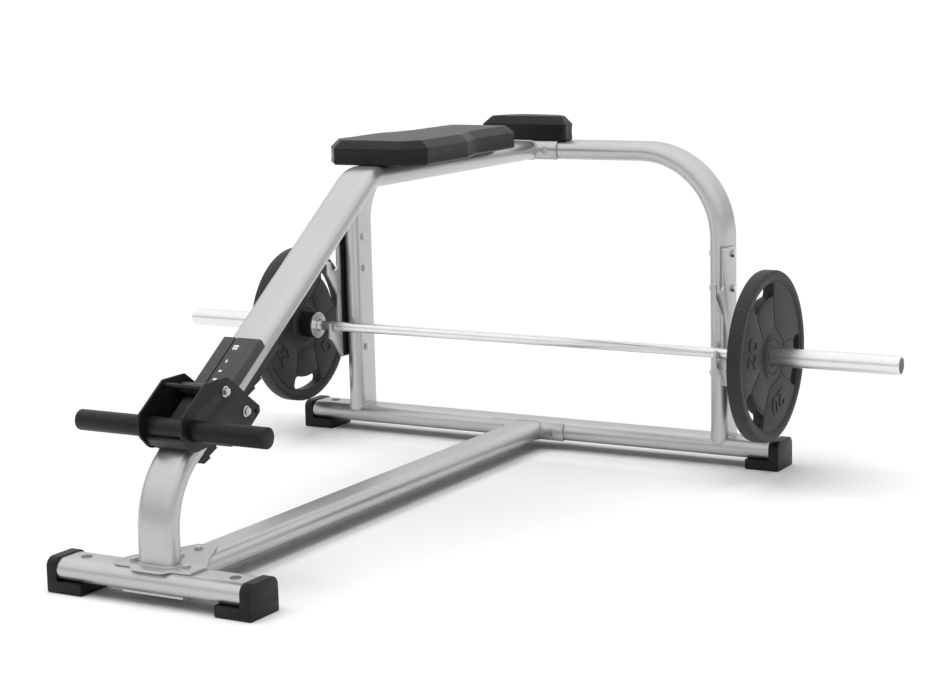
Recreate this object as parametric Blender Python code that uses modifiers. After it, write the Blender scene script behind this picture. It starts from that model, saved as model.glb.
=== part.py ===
"""Seal row bench: a bench on a T-shaped tube base, with a sloping foot carriage, bar hooks and a barbell.

Metres, +Z up. The foot of the slope is at -Y, the arch at +Y, and the origin lies on the floor in the
middle of the whole object. Side pieces are named left at -X and right at +X.
"""
import math

import bmesh
import bpy
from mathutils import Matrix, Vector

# Clearances and mesh fineness
FIT_GAP = 0.0003
WELD = 0.00001
ROUND_STEPS = 20
BOLT_STEPS = 8
TUBE_STEPS = 6
BEND_STEP = math.radians(15)
CORNER_STEP = math.radians(30)
HOOK_CORNER_STEP = math.radians(20)
EDGE_CHAMFER = 0.001

# Flat-oval frame tube
TUBE_WIDTH = 0.100
TUBE_HEIGHT = 0.050
TUBE_WALL = 0.003

# Base
GROUND_CLEARANCE = 0.026
BASE_LENGTH = 1.715
FRONT_BAR_SPAN = 0.545
REAR_BAR_SPAN = 1.500

# Rubber foot caps
CAP_SIDE_LIP = 0.002
CAP_TOP_LIP = 0.003
CAP_END_WALL = 0.005
CAP_COLLAR = 0.028
CAP_FOOT_LENGTH = 0.094
CAP_TOP_RADIUS = 0.022
CAP_FOOT_RADIUS = 0.004
CAP_CRADLE = 0.001

# Arch
ARCH_SPACING = 1.150
ARCH_TOP = 0.860
ARCH_BEND_RADIUS = 0.225
ARCH_FOOT_LAP = 0.010

# Spine
SLOPE = math.radians(35)
STUB_OFFSET = 0.003
STUB_CORNER_HEIGHT = 0.2468
LOWER_BEND_RADIUS = 0.187
UPPER_BEND_RADIUS = 0.100

# Plates that join the tubes
BASE_PLATE_THICKNESS = 0.006
BASE_PLATE_HALF_SPAN = 0.105
BASE_PLATE_HALF_DEPTH = 0.030
BASE_PLATE_CORNER = 0.010
TONGUE_SHOULDER = (0.074, 0.078)
TONGUE_TIP = (0.025, 0.175)
BASE_PLATE_LIP_HALF_SPAN = 0.040
BASE_PLATE_LIP_SLANT = 0.016
BASE_PLATE_LIP_FRONT = 0.051
BASE_PLATE_LIP_CORNER = 0.004
CLAMP_THICKNESS = 0.006
CLAMP_HALF_SPAN = 0.150
CLAMP_CENTRE_HALF_SPAN = 0.082
CLAMP_WING_HALF_DEPTH = 0.014
CLAMP_WING_TAPER = 0.002
SADDLE_THICKNESS = 0.005
SADDLE_WRAP = math.radians(55)
BASE_SADDLE_HALF_SPAN = 0.112
TOP_SADDLE_HALF_SPAN = 0.107

# Bolts, M10
BOLT_RADIUS = 0.005
BOLT_HEX_RADIUS = 0.0098
BOLT_HEAD_HEIGHT = 0.0064
BOLT_NUT_HEIGHT = 0.0070
BOLT_END = 0.002
BAR_BOLT_OFFSET = 0.070
RAIL_BOLT_FRONT = 0.072
RAIL_BOLT_REAR = 0.140
BASE_SADDLE_BOLT = 0.080
TOP_SADDLE_BOLT = 0.073

# Barbell
BAR_FORWARD = 0.097
BAR_HEIGHT = 0.317
BAR_RADIUS = 0.014
BAR_END_PLAY = 0.015
SLEEVE_RADIUS = 0.025
SLEEVE_BORE = 0.018
SLEEVE_START = 0.658
SLEEVE_END = 1.100
SLEEVE_END_WALL = 0.015
SLEEVE_CHAMFER = 0.0015
FLANGE_RADIUS = 0.0375
FLANGE_THICKNESS = 0.0065
COLLAR_RADIUS = 0.037
BUSHING_LENGTH = 0.060

# Weight plates
PLATE_RADIUS = 0.225
PLATE_THICKNESS = 0.038
LEFT_PLATE_FACE = 0.704
RIGHT_PLATE_FACE = 0.7175
PLATE_RIM = 0.025
PLATE_HUB_RADIUS = 0.058
PLATE_WEB_THICKNESS = 0.028
PLATE_EDGE = 0.005
PLATE_STEPS = 32
WINDOW_INNER = 0.155
WINDOW_OUTER = 0.193
WINDOW_HALF_ANGLE = math.radians(22)
WINDOW_CORNER = 0.008
WINDOW_COUNT = 3
RIGHT_PLATE_TURN = math.radians(-12)
LEFT_PLATE_TURN = math.radians(32)

# Hook plates, measured forward from the arch's centre and up from the floor
HOOK_THICKNESS = 0.008
HOOK_REAR = 0.005
HOOK_FRONT = 0.125
HOOK_TOP = 0.590
HOOK_BOTTOM = 0.222
HOOK_NECK = 0.0765
UPPER_NECK = 0.0715
UPPER_SLOT_WIDTH = 0.0355
UPPER_SLOT_FLOOR = 0.478
UPPER_FINGER_RISE = 0.029
UPPER_HEEL_FRONT_DROP = 0.011
UPPER_HEEL_BACK_DROP = 0.070
CRADLE_WIDTH = 0.036
CRADLE_FINGER_RISE = 0.010
CRADLE_HEEL_DROP = 0.034
CRADLE_CHIN = (0.108, 0.0445)
CRADLE_BOTTOM_FRONT = 0.066
HOOK_PLATE_CORNER = 0.004
HOOK_FINGER_CORNER = 0.008
HOOK_HEEL_RADIUS = 0.030
CRADLE_FINGER_CORNER = 0.0045
CRADLE_CHIN_RADIUS = 0.010
CRADLE_BOTTOM_CORNER = 0.003
HOOK_BOLT_FORWARD = 0.014
HOOK_BOLT_HEIGHTS = {"top": 0.570, "middle": 0.478, "bottom": 0.247}
LINER_THICKNESS = 0.0025
LINER_FRONT = 0.060
LINER_END_INSET = 0.004

# Body pad, measured rearward from the spine's upper corner
BODY_PAD_FRONT = 0.032
BODY_PAD_NOSE_HALF_WIDTH = 0.096
BODY_PAD_HALF_WIDTH = 0.140
BODY_PAD_NOSE_LENGTH = 0.055
BODY_PAD_WIDE_LENGTH = 0.255
BODY_PAD_TAPER_LENGTH = 0.355
BODY_PAD_TAIL_HALF_WIDTH = 0.105
BODY_PAD_LENGTH = 0.577
BODY_PAD_TAIL_CHAMFER = 0.018
BODY_PAD_THICKNESS = 0.063
BODY_PAD_BEVEL_DROP = 0.0225
BODY_BOARD_THICKNESS = 0.009
BODY_BOARD_INSET = 0.012

# Head pad, measured from the arch's centre
HEAD_PAD_FRONT = 0.040
HEAD_PAD_REAR = 0.055
HEAD_PAD_HALF_WIDTH = 0.129
HEAD_PAD_TAPER = 0.002
HEAD_PAD_REAR_CHAMFER = 0.045
HEAD_PAD_THICKNESS = 0.0690
HEAD_PAD_BEVEL_DROP = 0.0245
HEAD_BOARD_THICKNESS = 0.0095
HEAD_BOARD_INSET = 0.010

# Upholstery shared by both pads
PAD_BEVEL_INSET = 0.020
PAD_CROWN = 0.003
PAD_CROWN_SHARE = 0.70
PAD_SIDE_DRAW = 0.0015
PAD_HEM = 0.004
PAD_CORNER_RADIUS = 0.008

# Index cover and lock rack on the slope, measured up the slope from its upper corner
COVER_TOP = -0.597
COVER_LENGTH = 0.328
COVER_HALF_WIDTH = 0.0535
COVER_SKIRT = 0.011
COVER_SHOULDER_DROP = 0.005
COVER_THICKNESS = 0.011
COVER_GROOVE = 0.0155
COVER_GROOVE_WIDTH = 0.005
COVER_GROOVE_DEPTH = 0.0025
RACK_TOP = -0.515
RACK_LENGTH = 0.370
RACK_HALF_WIDTH = 0.0125
RACK_ROOT = 0.0447
TOOTH_HEIGHT = 0.007
TOOTH_PITCH = 0.031
TOOTH_COUNT = 8
RACK_HEEL = 0.020
RACK_HOLE_RADIUS = 0.004
RACK_HOLE_FROM_END = 0.018

# Foot carriage at its lowest step, in slope axes
SIDE_PLATE_INNER = 0.0545
SIDE_PLATE_THICKNESS = 0.006
SIDE_PLATE_CORNER = 0.004
SIDE_PLATE_NOSE_RADIUS = 0.035
SIDE_PLATE_NOSE = (2, 3)
SIDE_PLATE_OUTLINE = (
    (-0.812, 0.112),
    (-0.918, 0.112),
    (-0.950, 0.083),
    (-0.938, 0.024),
    (-0.756, -0.080),
    (-0.710, -0.080),
    (-0.702, -0.067),
    (-0.719, -0.020),
    (-0.729, 0.015),
    (-0.748, 0.068),
)
ROLLER_RADIUS = 0.0137
UPPER_ROLLER_STATION = -0.775
UPPER_ROLLER_HALF_LENGTH = 0.0535
LOWER_ROLLER_STATION = -0.748
LOWER_ROLLER_INNER = 0.0165
LOWER_ROLLER_OUTER = 0.0500
AXLE_INNER_FLANGE = 0.0015
AXLE_FLANGE_RADIUS = 0.008
FOOT_BAR_STATION = -0.905
FOOT_BAR_HEIGHT = 0.061
FOOT_BAR_SPAN = 0.502
FOOT_BAR_RADIUS = 0.019
FOOT_GRIP_RADIUS = 0.0235
FOOT_GRIP_END_WALL = 0.006
FOOT_GRIP_CHAMFER = 0.002
CROSS_ROD_STATION = -0.816
CROSS_ROD_HEIGHT = 0.099
CROSS_ROD_RADIUS = 0.006
GLIDE_LOW_STATION = -0.938
GLIDE_HEIGHT = 0.020

# Latch pawl, drawn just clear of the teeth
PAWL_PIVOT = (-0.719, -0.068)
PAWL_PIN_RADIUS = 0.004
PAWL_PIN_END = 0.064
PAWL_HALF_WIDTH = 0.024
PAWL_ARM_THICKNESS = 0.005
PAWL_TOOTH_STATION = -0.7615
PAWL_TOOTH_LENGTH = 0.008
PAWL_TOOTH_HALF_WIDTH = 0.010
PAWL_TOOTH_CLEARANCE = 0.0006
PAWL_TOOTH_PLAY = 0.0022
TEETH_BELOW_PAWL = 3
PAWL_BLOCK_TOP = -0.092
PAWL_BLOCK_THICKNESS = 0.012
PAWL_BLOCK_LOW_STATION = -0.800
PAWL_BOSS_RADIUS = 0.009
PAWL_BOSS_START = math.radians(-60)
PAWL_BOSS_END = math.radians(162)
PAWL_BOSS_STEP = math.radians(24)
PAWL_ARM_TOP_SHARE = 0.45
PAWL_BLOCK_NOSE_SHARE = 0.35

# Places worked out from the sizes above
CAP_WIDTH = TUBE_WIDTH + 2 * CAP_SIDE_LIP
CAP_HEIGHT = GROUND_CLEARANCE + TUBE_HEIGHT + CAP_TOP_LIP
OVERALL_LENGTH = CAP_WIDTH / 2 + BASE_LENGTH - BAR_FORWARD + PLATE_RADIUS
FRONT_Y = CAP_WIDTH / 2 - OVERALL_LENGTH / 2
REAR_Y = FRONT_Y + BASE_LENGTH
BAR_Y = REAR_Y - BAR_FORWARD
BASE_Z = GROUND_CLEARANCE + TUBE_HEIGHT / 2
BASE_TOP = GROUND_CLEARANCE + TUBE_HEIGHT
BEAM_Z = ARCH_TOP - TUBE_HEIGHT / 2
TUBE_FLAT = TUBE_WIDTH / 2 - TUBE_HEIGHT / 2
STUB_Y = FRONT_Y + STUB_OFFSET
STUB_BASE = BASE_TOP + BASE_PLATE_THICKNESS + 2 * FIT_GAP
CORNER_Y = STUB_Y + (BEAM_Z - STUB_CORNER_HEIGHT) / math.tan(SLOPE)
PAD_SEAT = ARCH_TOP + FIT_GAP
ARCH_OUTER_FACE = ARCH_SPACING / 2 + TUBE_HEIGHT / 2
ARCH_INNER_FACE = ARCH_SPACING / 2 - TUBE_HEIGHT / 2
COVER_TOP_HEIGHT = TUBE_HEIGHT / 2 + COVER_THICKNESS
UPPER_ROLLER_HEIGHT = COVER_TOP_HEIGHT + FIT_GAP + ROLLER_RADIUS
LOWER_ROLLER_HEIGHT = -(TUBE_HEIGHT / 2 + FIT_GAP + ROLLER_RADIUS)
SIDE_PLATE_OUTER = SIDE_PLATE_INNER + SIDE_PLATE_THICKNESS
RACK_SEAT = -(TUBE_HEIGHT / 2 + FIT_GAP)
RACK_TIP = RACK_SEAT - RACK_ROOT - TOOTH_HEIGHT
AROUND_TUBE = (TUBE_HEIGHT / 2 + FIT_GAP) / math.cos(BEND_STEP / 2)

# Axes of flat outlines: (x, y) of the outline and its thickness become these world directions
ALONG_X = Matrix(((0, 0, 1, 0), (1, 0, 0, 0), (0, 1, 0, 0), (0, 0, 0, 1)))
ALONG_Y = Matrix(((1, 0, 0, 0), (0, 0, -1, 0), (0, 1, 0, 0), (0, 0, 0, 1)))
UPRIGHT = Matrix.Identity(4)


# Scene and materials

for old_object in list(bpy.data.objects):
    bpy.data.objects.remove(old_object, do_unlink=True)

pieces = bpy.data.collections.new("seal_row_bench")
bpy.context.scene.collection.children.link(pieces)
cutters = bpy.data.collections.new("cutters")
bpy.context.scene.collection.children.link(cutters)


def material(name, colour, roughness, metallic=0.0):
    """A plain surface of one colour."""
    made = bpy.data.materials.new(name)
    made.use_nodes = True
    shader = made.node_tree.nodes["Principled BSDF"]
    shader.inputs["Base Color"].default_value = (*colour, 1.0)
    shader.inputs["Roughness"].default_value = roughness
    shader.inputs["Metallic"].default_value = metallic
    return made


SILVER_PAINT = material("silver_paint", (0.56, 0.57, 0.58), 0.38, 0.85)
ZINC = material("zinc_plate", (0.72, 0.72, 0.73), 0.28, 1.0)
CHROME = material("satin_chrome", (0.70, 0.70, 0.71), 0.22, 1.0)
BLACK_PAINT = material("black_paint", (0.035, 0.035, 0.037), 0.45, 0.2)
RUBBER = material("black_rubber", (0.025, 0.025, 0.026), 0.75)
PLATE_RUBBER = material("plate_rubber", (0.050, 0.051, 0.053), 0.70)
VINYL = material("black_vinyl", (0.040, 0.041, 0.043), 0.55)
PLASTIC = material("black_plastic", (0.050, 0.050, 0.052), 0.50)


# Outlines

def arc(centre, radius, start, end, step=BEND_STEP):
    """Points on a round stretch from one angle to another."""
    count = max(1, round(abs(end - start) / step))
    points = []
    for index in range(count + 1):
        angle = start + (end - start) * index / count
        points.append(Vector(centre) + polar(radius, angle))
    return points


def polar(radius, angle):
    """A point by its radius and angle."""
    return Vector((radius * math.cos(angle), radius * math.sin(angle)))


def rounded(corners, radii, step=CORNER_STEP):
    """A run of straight lines with each corner rounded to its own radius."""
    points = []
    for index, radius in enumerate(radii):
        corner = Vector(corners[index])
        if radius == 0:
            points.append(corner)
            continue
        before = (Vector(corners[index - 1]) - corner).normalized()
        after = (Vector(corners[(index + 1) % len(corners)]) - corner).normalized()
        turn = math.pi - before.angle(after)
        side = 1 if after.x * before.y - after.y * before.x > 0 else -1
        start = corner + before * radius * math.tan(turn / 2)
        centre = corner + (before + after).normalized() * radius / math.cos(turn / 2)
        count = max(1, math.ceil(turn / step - 0.01))
        for place in range(count + 1):
            points.append(centre + Matrix.Rotation(side * turn * place / count, 2) @ (start - centre))
    return points


def stadium(width, height, steps=TUBE_STEPS):
    """A flat oval outline about its centre."""
    half_flat = (width - height) / 2
    step = math.pi / steps
    right = arc((half_flat, 0), height / 2, -math.pi / 2, math.pi / 2, step)
    left = arc((-half_flat, 0), height / 2, math.pi / 2, 3 * math.pi / 2, step)
    return right + left


def circle(centre, radius, steps=BOLT_STEPS):
    """A round hole's outline."""
    points = []
    for index in range(steps):
        angle = 2 * math.pi * index / steps
        points.append(Vector(centre) + polar(radius, angle))
    return points


def mirrored(half):
    """A closed outline from its right half, listed front to rear."""
    return [Vector(point) for point in half] + [Vector((-point[0], point[1])) for point in reversed(half)]


def offset(outline, distance):
    """A counter-clockwise outline moved outward, or inward where the distance is negative."""
    moved = []
    for index, point in enumerate(outline):
        before = (point - outline[index - 1]).normalized()
        after = (outline[(index + 1) % len(outline)] - point).normalized()
        out_before = Vector((before.y, -before.x))
        out_after = Vector((after.y, -after.x))
        moved.append(point + (out_before + out_after) * distance / (1 + out_before.dot(out_after)))
    return moved


def clear(radius, steps=BOLT_STEPS):
    """The radius of a faceted hole whose flats still clear a shaft of this radius."""
    return (radius + FIT_GAP) / math.cos(math.pi / steps)


# Solids

def solid_mesh(source, name):
    """An object's evaluated shape as one welded mesh with its faces pointing out."""
    bpy.context.view_layer.update()
    graph = bpy.context.evaluated_depsgraph_get()
    mesh = bpy.data.meshes.new_from_object(source.evaluated_get(graph))
    mesh.name = name
    shape = bmesh.new()
    shape.from_mesh(mesh)
    bmesh.ops.remove_doubles(shape, verts=shape.verts, dist=WELD)
    bmesh.ops.recalc_face_normals(shape, faces=shape.faces)
    if shape.calc_volume(signed=True) < 0:
        bmesh.ops.reverse_faces(shape, faces=shape.faces)
    shape.to_mesh(mesh)
    shape.free()
    bpy.data.objects.remove(source, do_unlink=True)
    return mesh


def piece(name, mesh, finish, place=UPRIGHT, parent=None):
    """A named solid with its own material, placed in the world or under an empty."""
    made = bpy.data.objects.new(name, mesh)
    pieces.objects.link(made)
    mesh.materials.clear()
    mesh.materials.append(finish)
    mesh.shade_smooth()
    mesh.set_sharp_from_angle(angle=CORNER_STEP)
    made.parent = parent
    made.matrix_local = place
    return made


def cutter(name, mesh, place=UPRIGHT, parent=None):
    """A solid that only shapes other pieces."""
    made = bpy.data.objects.new(name, mesh)
    cutters.objects.link(made)
    made.hide_render = True
    made.display_type = "WIRE"
    made.parent = parent
    made.matrix_local = place
    return made


def cut(target, tool, operation="DIFFERENCE"):
    """Take a cutter away from a piece, or add it."""
    step = target.modifiers.new(tool.name, "BOOLEAN")
    step.operation = operation
    step.object = tool


def plate_mesh(name, outline, thickness, holes=()):
    """A flat outline given its thickness, half to each side of its plane."""
    curve = bpy.data.curves.new(name, "CURVE")
    curve.dimensions = "2D"
    curve.fill_mode = "BOTH"
    curve.extrude = thickness / 2
    for loop in (outline, *holes):
        spline = curve.splines.new("POLY")
        spline.points.add(len(loop) - 1)
        for target, point in zip(spline.points, loop):
            target.co = (point[0], point[1], 0, 1)
        spline.use_cyclic_u = True
    source = bpy.data.objects.new(name, curve)
    cutters.objects.link(source)
    return solid_mesh(source, name)


def turned_mesh(name, profile, steps=ROUND_STEPS, ring=False):
    """A profile of (radius, height) points turned about the local Z axis."""
    count = len(profile)
    edges = [(index, index + 1) for index in range(count - 1)]
    if ring:
        edges.append((count - 1, 0))
    mesh = bpy.data.meshes.new(name)
    mesh.from_pydata([(radius, 0, height) for radius, height in profile], edges, [])
    source = bpy.data.objects.new(name, mesh)
    cutters.objects.link(source)
    screw = source.modifiers.new("Turn", "SCREW")
    screw.steps = steps
    screw.render_steps = steps
    screw.use_merge_vertices = True
    screw.merge_threshold = WELD
    return solid_mesh(source, name)


def rod_mesh(name, radius, low, high, steps=ROUND_STEPS, chamfer=0.0):
    """A round bar along the local Z axis."""
    if chamfer == 0:
        profile = [(0, high), (radius, high), (radius, low), (0, low)]
    else:
        profile = [
            (0, high),
            (radius - chamfer, high),
            (radius, high - chamfer),
            (radius, low + chamfer),
            (radius - chamfer, low),
            (0, low),
        ]
    return turned_mesh(name, profile, steps)


def ring_mesh(name, bore, radius, low, high, steps=ROUND_STEPS, chamfer=EDGE_CHAMFER):
    """A round sleeve along the local Z axis."""
    profile = [
        (bore, high),
        (radius - chamfer, high),
        (radius, high - chamfer),
        (radius, low + chamfer),
        (radius - chamfer, low),
        (bore, low),
    ]
    return turned_mesh(name, profile, steps, ring=True)


def box_mesh(name, low, high):
    """A block between two corners."""
    shape = bmesh.new()
    size = Vector(high) - Vector(low)
    centre = (Vector(high) + Vector(low)) / 2
    place = Matrix.Translation(centre) @ Matrix.Diagonal((*size, 1))
    bmesh.ops.create_cube(shape, size=1, matrix=place)
    mesh = bpy.data.meshes.new(name)
    shape.to_mesh(mesh)
    shape.free()
    return mesh


def lofted_mesh(name, rings):
    """A solid skinned over rings of (outline, height) with both ends closed."""
    shape = bmesh.new()
    loops = []
    for outline, height in rings:
        loops.append([shape.verts.new((point.x, point.y, height)) for point in outline])
    for lower, upper in zip(loops, loops[1:]):
        for index in range(len(lower)):
            following = (index + 1) % len(lower)
            shape.faces.new((lower[index], lower[following], upper[following], upper[index]))
    shape.faces.new(loops[0][::-1])
    shape.faces.new(loops[-1])
    mesh = bpy.data.meshes.new(name)
    shape.to_mesh(mesh)
    shape.free()
    return mesh


def tube(name, path, place, finish, width=TUBE_WIDTH, height=TUBE_HEIGHT):
    """A flat-oval tube along a flat path, its long side square to the path's plane, open at its ends."""
    section = bpy.data.curves.new(name + "_section", "CURVE")
    section.dimensions = "2D"
    outline = section.splines.new("POLY")
    points = stadium(width, height)
    outline.points.add(len(points) - 1)
    for target, point in zip(outline.points, points):
        target.co = (point.y, point.x, 0, 1)
    outline.use_cyclic_u = True
    section_guide = bpy.data.objects.new(name + "_section", section)
    cutters.objects.link(section_guide)
    curve = bpy.data.curves.new(name, "CURVE")
    curve.dimensions = "2D"
    curve.bevel_mode = "OBJECT"
    curve.bevel_object = section_guide
    spline = curve.splines.new("POLY")
    spline.points.add(len(path) - 1)
    for target, point in zip(spline.points, path):
        target.co = (point[0], point[1], 0, 1)
    source = bpy.data.objects.new(name, curve)
    cutters.objects.link(source)
    made = piece(name, solid_mesh(source, name), finish, place)
    bpy.data.objects.remove(section_guide, do_unlink=True)
    wall = made.modifiers.new("Wall", "SOLIDIFY")
    wall.thickness = TUBE_WALL
    wall.offset = -1
    return made


def tube_space(name, length, growth, centre, steps=TUBE_STEPS):
    """The room that a straight tube along X takes up, grown all round."""
    outline = stadium(TUBE_WIDTH + 2 * growth, TUBE_HEIGHT + 2 * growth, steps)
    place = Matrix.Translation(centre) @ ALONG_X
    return cutter(name, plate_mesh(name, outline, length), place)


def saddle_space(name, centre_z):
    """The room that a rear tube takes up together with its saddle plate."""
    steps = 2 * TUBE_STEPS
    outer = (AROUND_TUBE + SADDLE_THICKNESS + FIT_GAP) / math.cos(math.pi / steps / 2)
    return tube_space(name, ARCH_SPACING, outer - TUBE_HEIGHT / 2, (0, REAR_Y, centre_z), steps)


def pointing(start, end):
    """The placement that runs the local Z axis from one point to another."""
    run = Vector(end) - Vector(start)
    turn = run.to_track_quat("Z", "Y").to_matrix().to_4x4()
    return Matrix.Translation(start) @ turn


def drill(name, targets, start, end, radius=BOLT_RADIUS, parent=None):
    """A round clearance hole from one point to another through some pieces."""
    length = (Vector(end) - Vector(start)).length
    mesh = rod_mesh(name, clear(radius), 0, length, BOLT_STEPS)
    tool = cutter(name, mesh, pointing(start, end), parent)
    for target in targets:
        cut(target, tool)


def bolt(name, head_seat, nut_seat, targets=()):
    """A hexagon bolt with its nut, and its holes through the pieces between head and nut."""
    length = (Vector(nut_seat) - Vector(head_seat)).length
    place = pointing(head_seat, nut_seat)
    shank_start = -BOLT_HEAD_HEIGHT / 2
    shank_end = length + BOLT_NUT_HEIGHT + BOLT_END
    made = piece(name, rod_mesh(name, BOLT_RADIUS, shank_start, shank_end, BOLT_STEPS), ZINC, place)
    hexes = {
        "_head": (-BOLT_HEAD_HEIGHT, -FIT_GAP),
        "_nut": (length + FIT_GAP, length + BOLT_NUT_HEIGHT),
    }
    for part, (low, high) in hexes.items():
        mesh = rod_mesh(name + part, BOLT_HEX_RADIUS, low, high, 6)
        cut(made, cutter(name + part, mesh, place), "UNION")
    if targets:
        start = place @ Vector((0, 0, -FIT_GAP))
        end = place @ Vector((0, 0, length + FIT_GAP))
        drill(name + "_hole", targets, start, end)
    return made


# Base

def base_bar(name, centre_y, span):
    """A base tube that lies flat along X between its two caps."""
    half = span / 2 - CAP_END_WALL - FIT_GAP
    place = Matrix.Translation((0, centre_y, BASE_Z)) @ ALONG_Y
    return tube(name, [(-half, 0), (half, 0)], place, SILVER_PAINT)


def foot_cap(name, side, centre_y, span, bar_space):
    """A rubber foot that wraps a tube's end, with a longer block under the tube."""
    half = CAP_WIDTH / 2
    corners = [(-half, 0), (half, 0), (half, CAP_HEIGHT), (-half, CAP_HEIGHT)]
    radii = [CAP_FOOT_RADIUS, CAP_FOOT_RADIUS, CAP_TOP_RADIUS, CAP_TOP_RADIUS]
    middle = side * (span / 2 - CAP_FOOT_LENGTH / 2)
    place = Matrix.Translation((middle, centre_y, 0)) @ ALONG_X
    mesh = plate_mesh(name, rounded(corners, radii, step=BEND_STEP * 2), CAP_FOOT_LENGTH)
    cap = piece(name, mesh, RUBBER, place)
    inner_end = side * (span / 2 - CAP_FOOT_LENGTH - CAP_END_WALL)
    collar_end = side * (span / 2 - CAP_COLLAR)
    low = (min(inner_end, collar_end), centre_y - CAP_WIDTH, GROUND_CLEARANCE + CAP_CRADLE)
    high = (max(inner_end, collar_end), centre_y + CAP_WIDTH, CAP_HEIGHT * 2)
    cut(cap, cutter(name + "_step", box_mesh(name + "_step", low, high)))
    cut(cap, bar_space)
    return cap


def base_rail(front_space, saddle_space):
    """The tube that joins the front bar to the rear member, shaped at both ends to what it meets."""
    path = [(FRONT_Y + TUBE_FLAT, 0), (REAR_Y - TUBE_FLAT, 0)]
    rail = tube("base_rail_tube", path, Matrix.Translation((0, 0, BASE_Z)) @ ALONG_X, SILVER_PAINT)
    cut(rail, front_space)
    cut(rail, saddle_space)
    return rail


def saddle(name, centre_z, half_span):
    """A plate curved round the front of a crossing tube at the rear."""
    inner = AROUND_TUBE
    outer = inner + SADDLE_THICKNESS
    start = math.pi - SADDLE_WRAP
    end = math.pi + SADDLE_WRAP
    outline = arc((0, 0), outer, start, end) + arc((0, 0), inner, end, start)
    place = Matrix.Translation((0, REAR_Y - TUBE_FLAT, centre_z)) @ ALONG_X
    return piece(name, plate_mesh(name, outline, 2 * half_span), SILVER_PAINT, place)


def saddle_bolts(name, offset_x, centre_z, targets):
    """The pair of bolts that hold a saddle to its crossing tube."""
    head_y = REAR_Y - TUBE_WIDTH / 2 - SADDLE_THICKNESS - FIT_GAP
    nut_y = REAR_Y + TUBE_WIDTH / 2
    for side, word in ((-1, "left"), (1, "right")):
        x = side * offset_x
        bolt(f"{name}_{word}", (x, head_y, centre_z), (x, nut_y, centre_z), targets)


def base_plate():
    """The plate on the front bar, with a lip over the front edge and a tongue along the rail."""
    thickness = BASE_PLATE_THICKNESS
    half = [
        (BASE_PLATE_LIP_HALF_SPAN, -BASE_PLATE_LIP_FRONT),
        (BASE_PLATE_LIP_HALF_SPAN + BASE_PLATE_LIP_SLANT, -BASE_PLATE_HALF_DEPTH),
        (BASE_PLATE_HALF_SPAN, -BASE_PLATE_HALF_DEPTH),
        (BASE_PLATE_HALF_SPAN, BASE_PLATE_HALF_DEPTH),
        TONGUE_SHOULDER,
        TONGUE_TIP,
    ]
    radii = [BASE_PLATE_LIP_CORNER, BASE_PLATE_LIP_CORNER] + [BASE_PLATE_CORNER] * (len(half) - 2)
    outline = rounded(mirrored(half), radii + radii[::-1])
    place = Matrix.Translation((0, FRONT_Y, BASE_TOP + FIT_GAP + thickness / 2))
    return piece("base_plate", plate_mesh("base_plate", outline, thickness), SILVER_PAINT, place)


def clamp_plate():
    """The plate under the front bar, with a narrower wing at each end."""
    wing = CLAMP_WING_HALF_DEPTH
    half = [
        (CLAMP_CENTRE_HALF_SPAN, -BASE_PLATE_HALF_DEPTH),
        (CLAMP_CENTRE_HALF_SPAN, -wing),
        (CLAMP_HALF_SPAN, CLAMP_WING_TAPER - wing),
        (CLAMP_HALF_SPAN, wing - CLAMP_WING_TAPER),
        (CLAMP_CENTRE_HALF_SPAN, wing),
        (CLAMP_CENTRE_HALF_SPAN, BASE_PLATE_HALF_DEPTH),
    ]
    top = GROUND_CLEARANCE - FIT_GAP
    place = Matrix.Translation((0, FRONT_Y, top - CLAMP_THICKNESS / 2))
    mesh = plate_mesh("clamp_plate", mirrored(half), CLAMP_THICKNESS)
    return piece("clamp_plate", mesh, SILVER_PAINT, place)


def base_bolts(plate, clamp, front_bar, rail):
    """Two bolts through plate, bar and clamp, and two through the tongue and the rail."""
    head_z = BASE_TOP + FIT_GAP + BASE_PLATE_THICKNESS
    for side, word in ((-1, "left"), (1, "right")):
        x = side * BAR_BOLT_OFFSET
        nut_z = GROUND_CLEARANCE - FIT_GAP - CLAMP_THICKNESS
        bolt(f"base_bolt_{word}", (x, STUB_Y, head_z), (x, STUB_Y, nut_z), (plate, clamp, front_bar))
    for distance, word in ((RAIL_BOLT_FRONT, "front"), (RAIL_BOLT_REAR, "rear")):
        y = FRONT_Y + distance
        bolt(f"rail_bolt_{word}", (0, y, head_z), (0, y, GROUND_CLEARANCE), (plate, rail))


# Arch and spine

def arch(rear_space):
    """Two uprights, two bends and the top beam in one tube, its feet shaped to the rear member."""
    half = ARCH_SPACING / 2
    foot = BASE_TOP - ARCH_FOOT_LAP
    corners = [(-half, foot), (-half, BEAM_Z), (half, BEAM_Z), (half, foot)]
    path = rounded(corners, [0, ARCH_BEND_RADIUS, ARCH_BEND_RADIUS, 0], BEND_STEP)
    made = tube("arch_tube", path, Matrix.Translation((0, REAR_Y, 0)) @ ALONG_Y, SILVER_PAINT)
    cut(made, rear_space)
    return made


def spine(top_space):
    """The upright stub, the climb and the level run in one tube, its end shaped to the top saddle."""
    corners = [
        (STUB_Y, STUB_BASE),
        (STUB_Y, STUB_CORNER_HEIGHT),
        (CORNER_Y, BEAM_Z),
        (REAR_Y - TUBE_FLAT, BEAM_Z),
    ]
    path = rounded(corners, [0, LOWER_BEND_RADIUS, UPPER_BEND_RADIUS, 0], BEND_STEP)
    made = tube("spine_tube", path, ALONG_X, SILVER_PAINT)
    cut(made, top_space)
    return made


# Bar hooks

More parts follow.
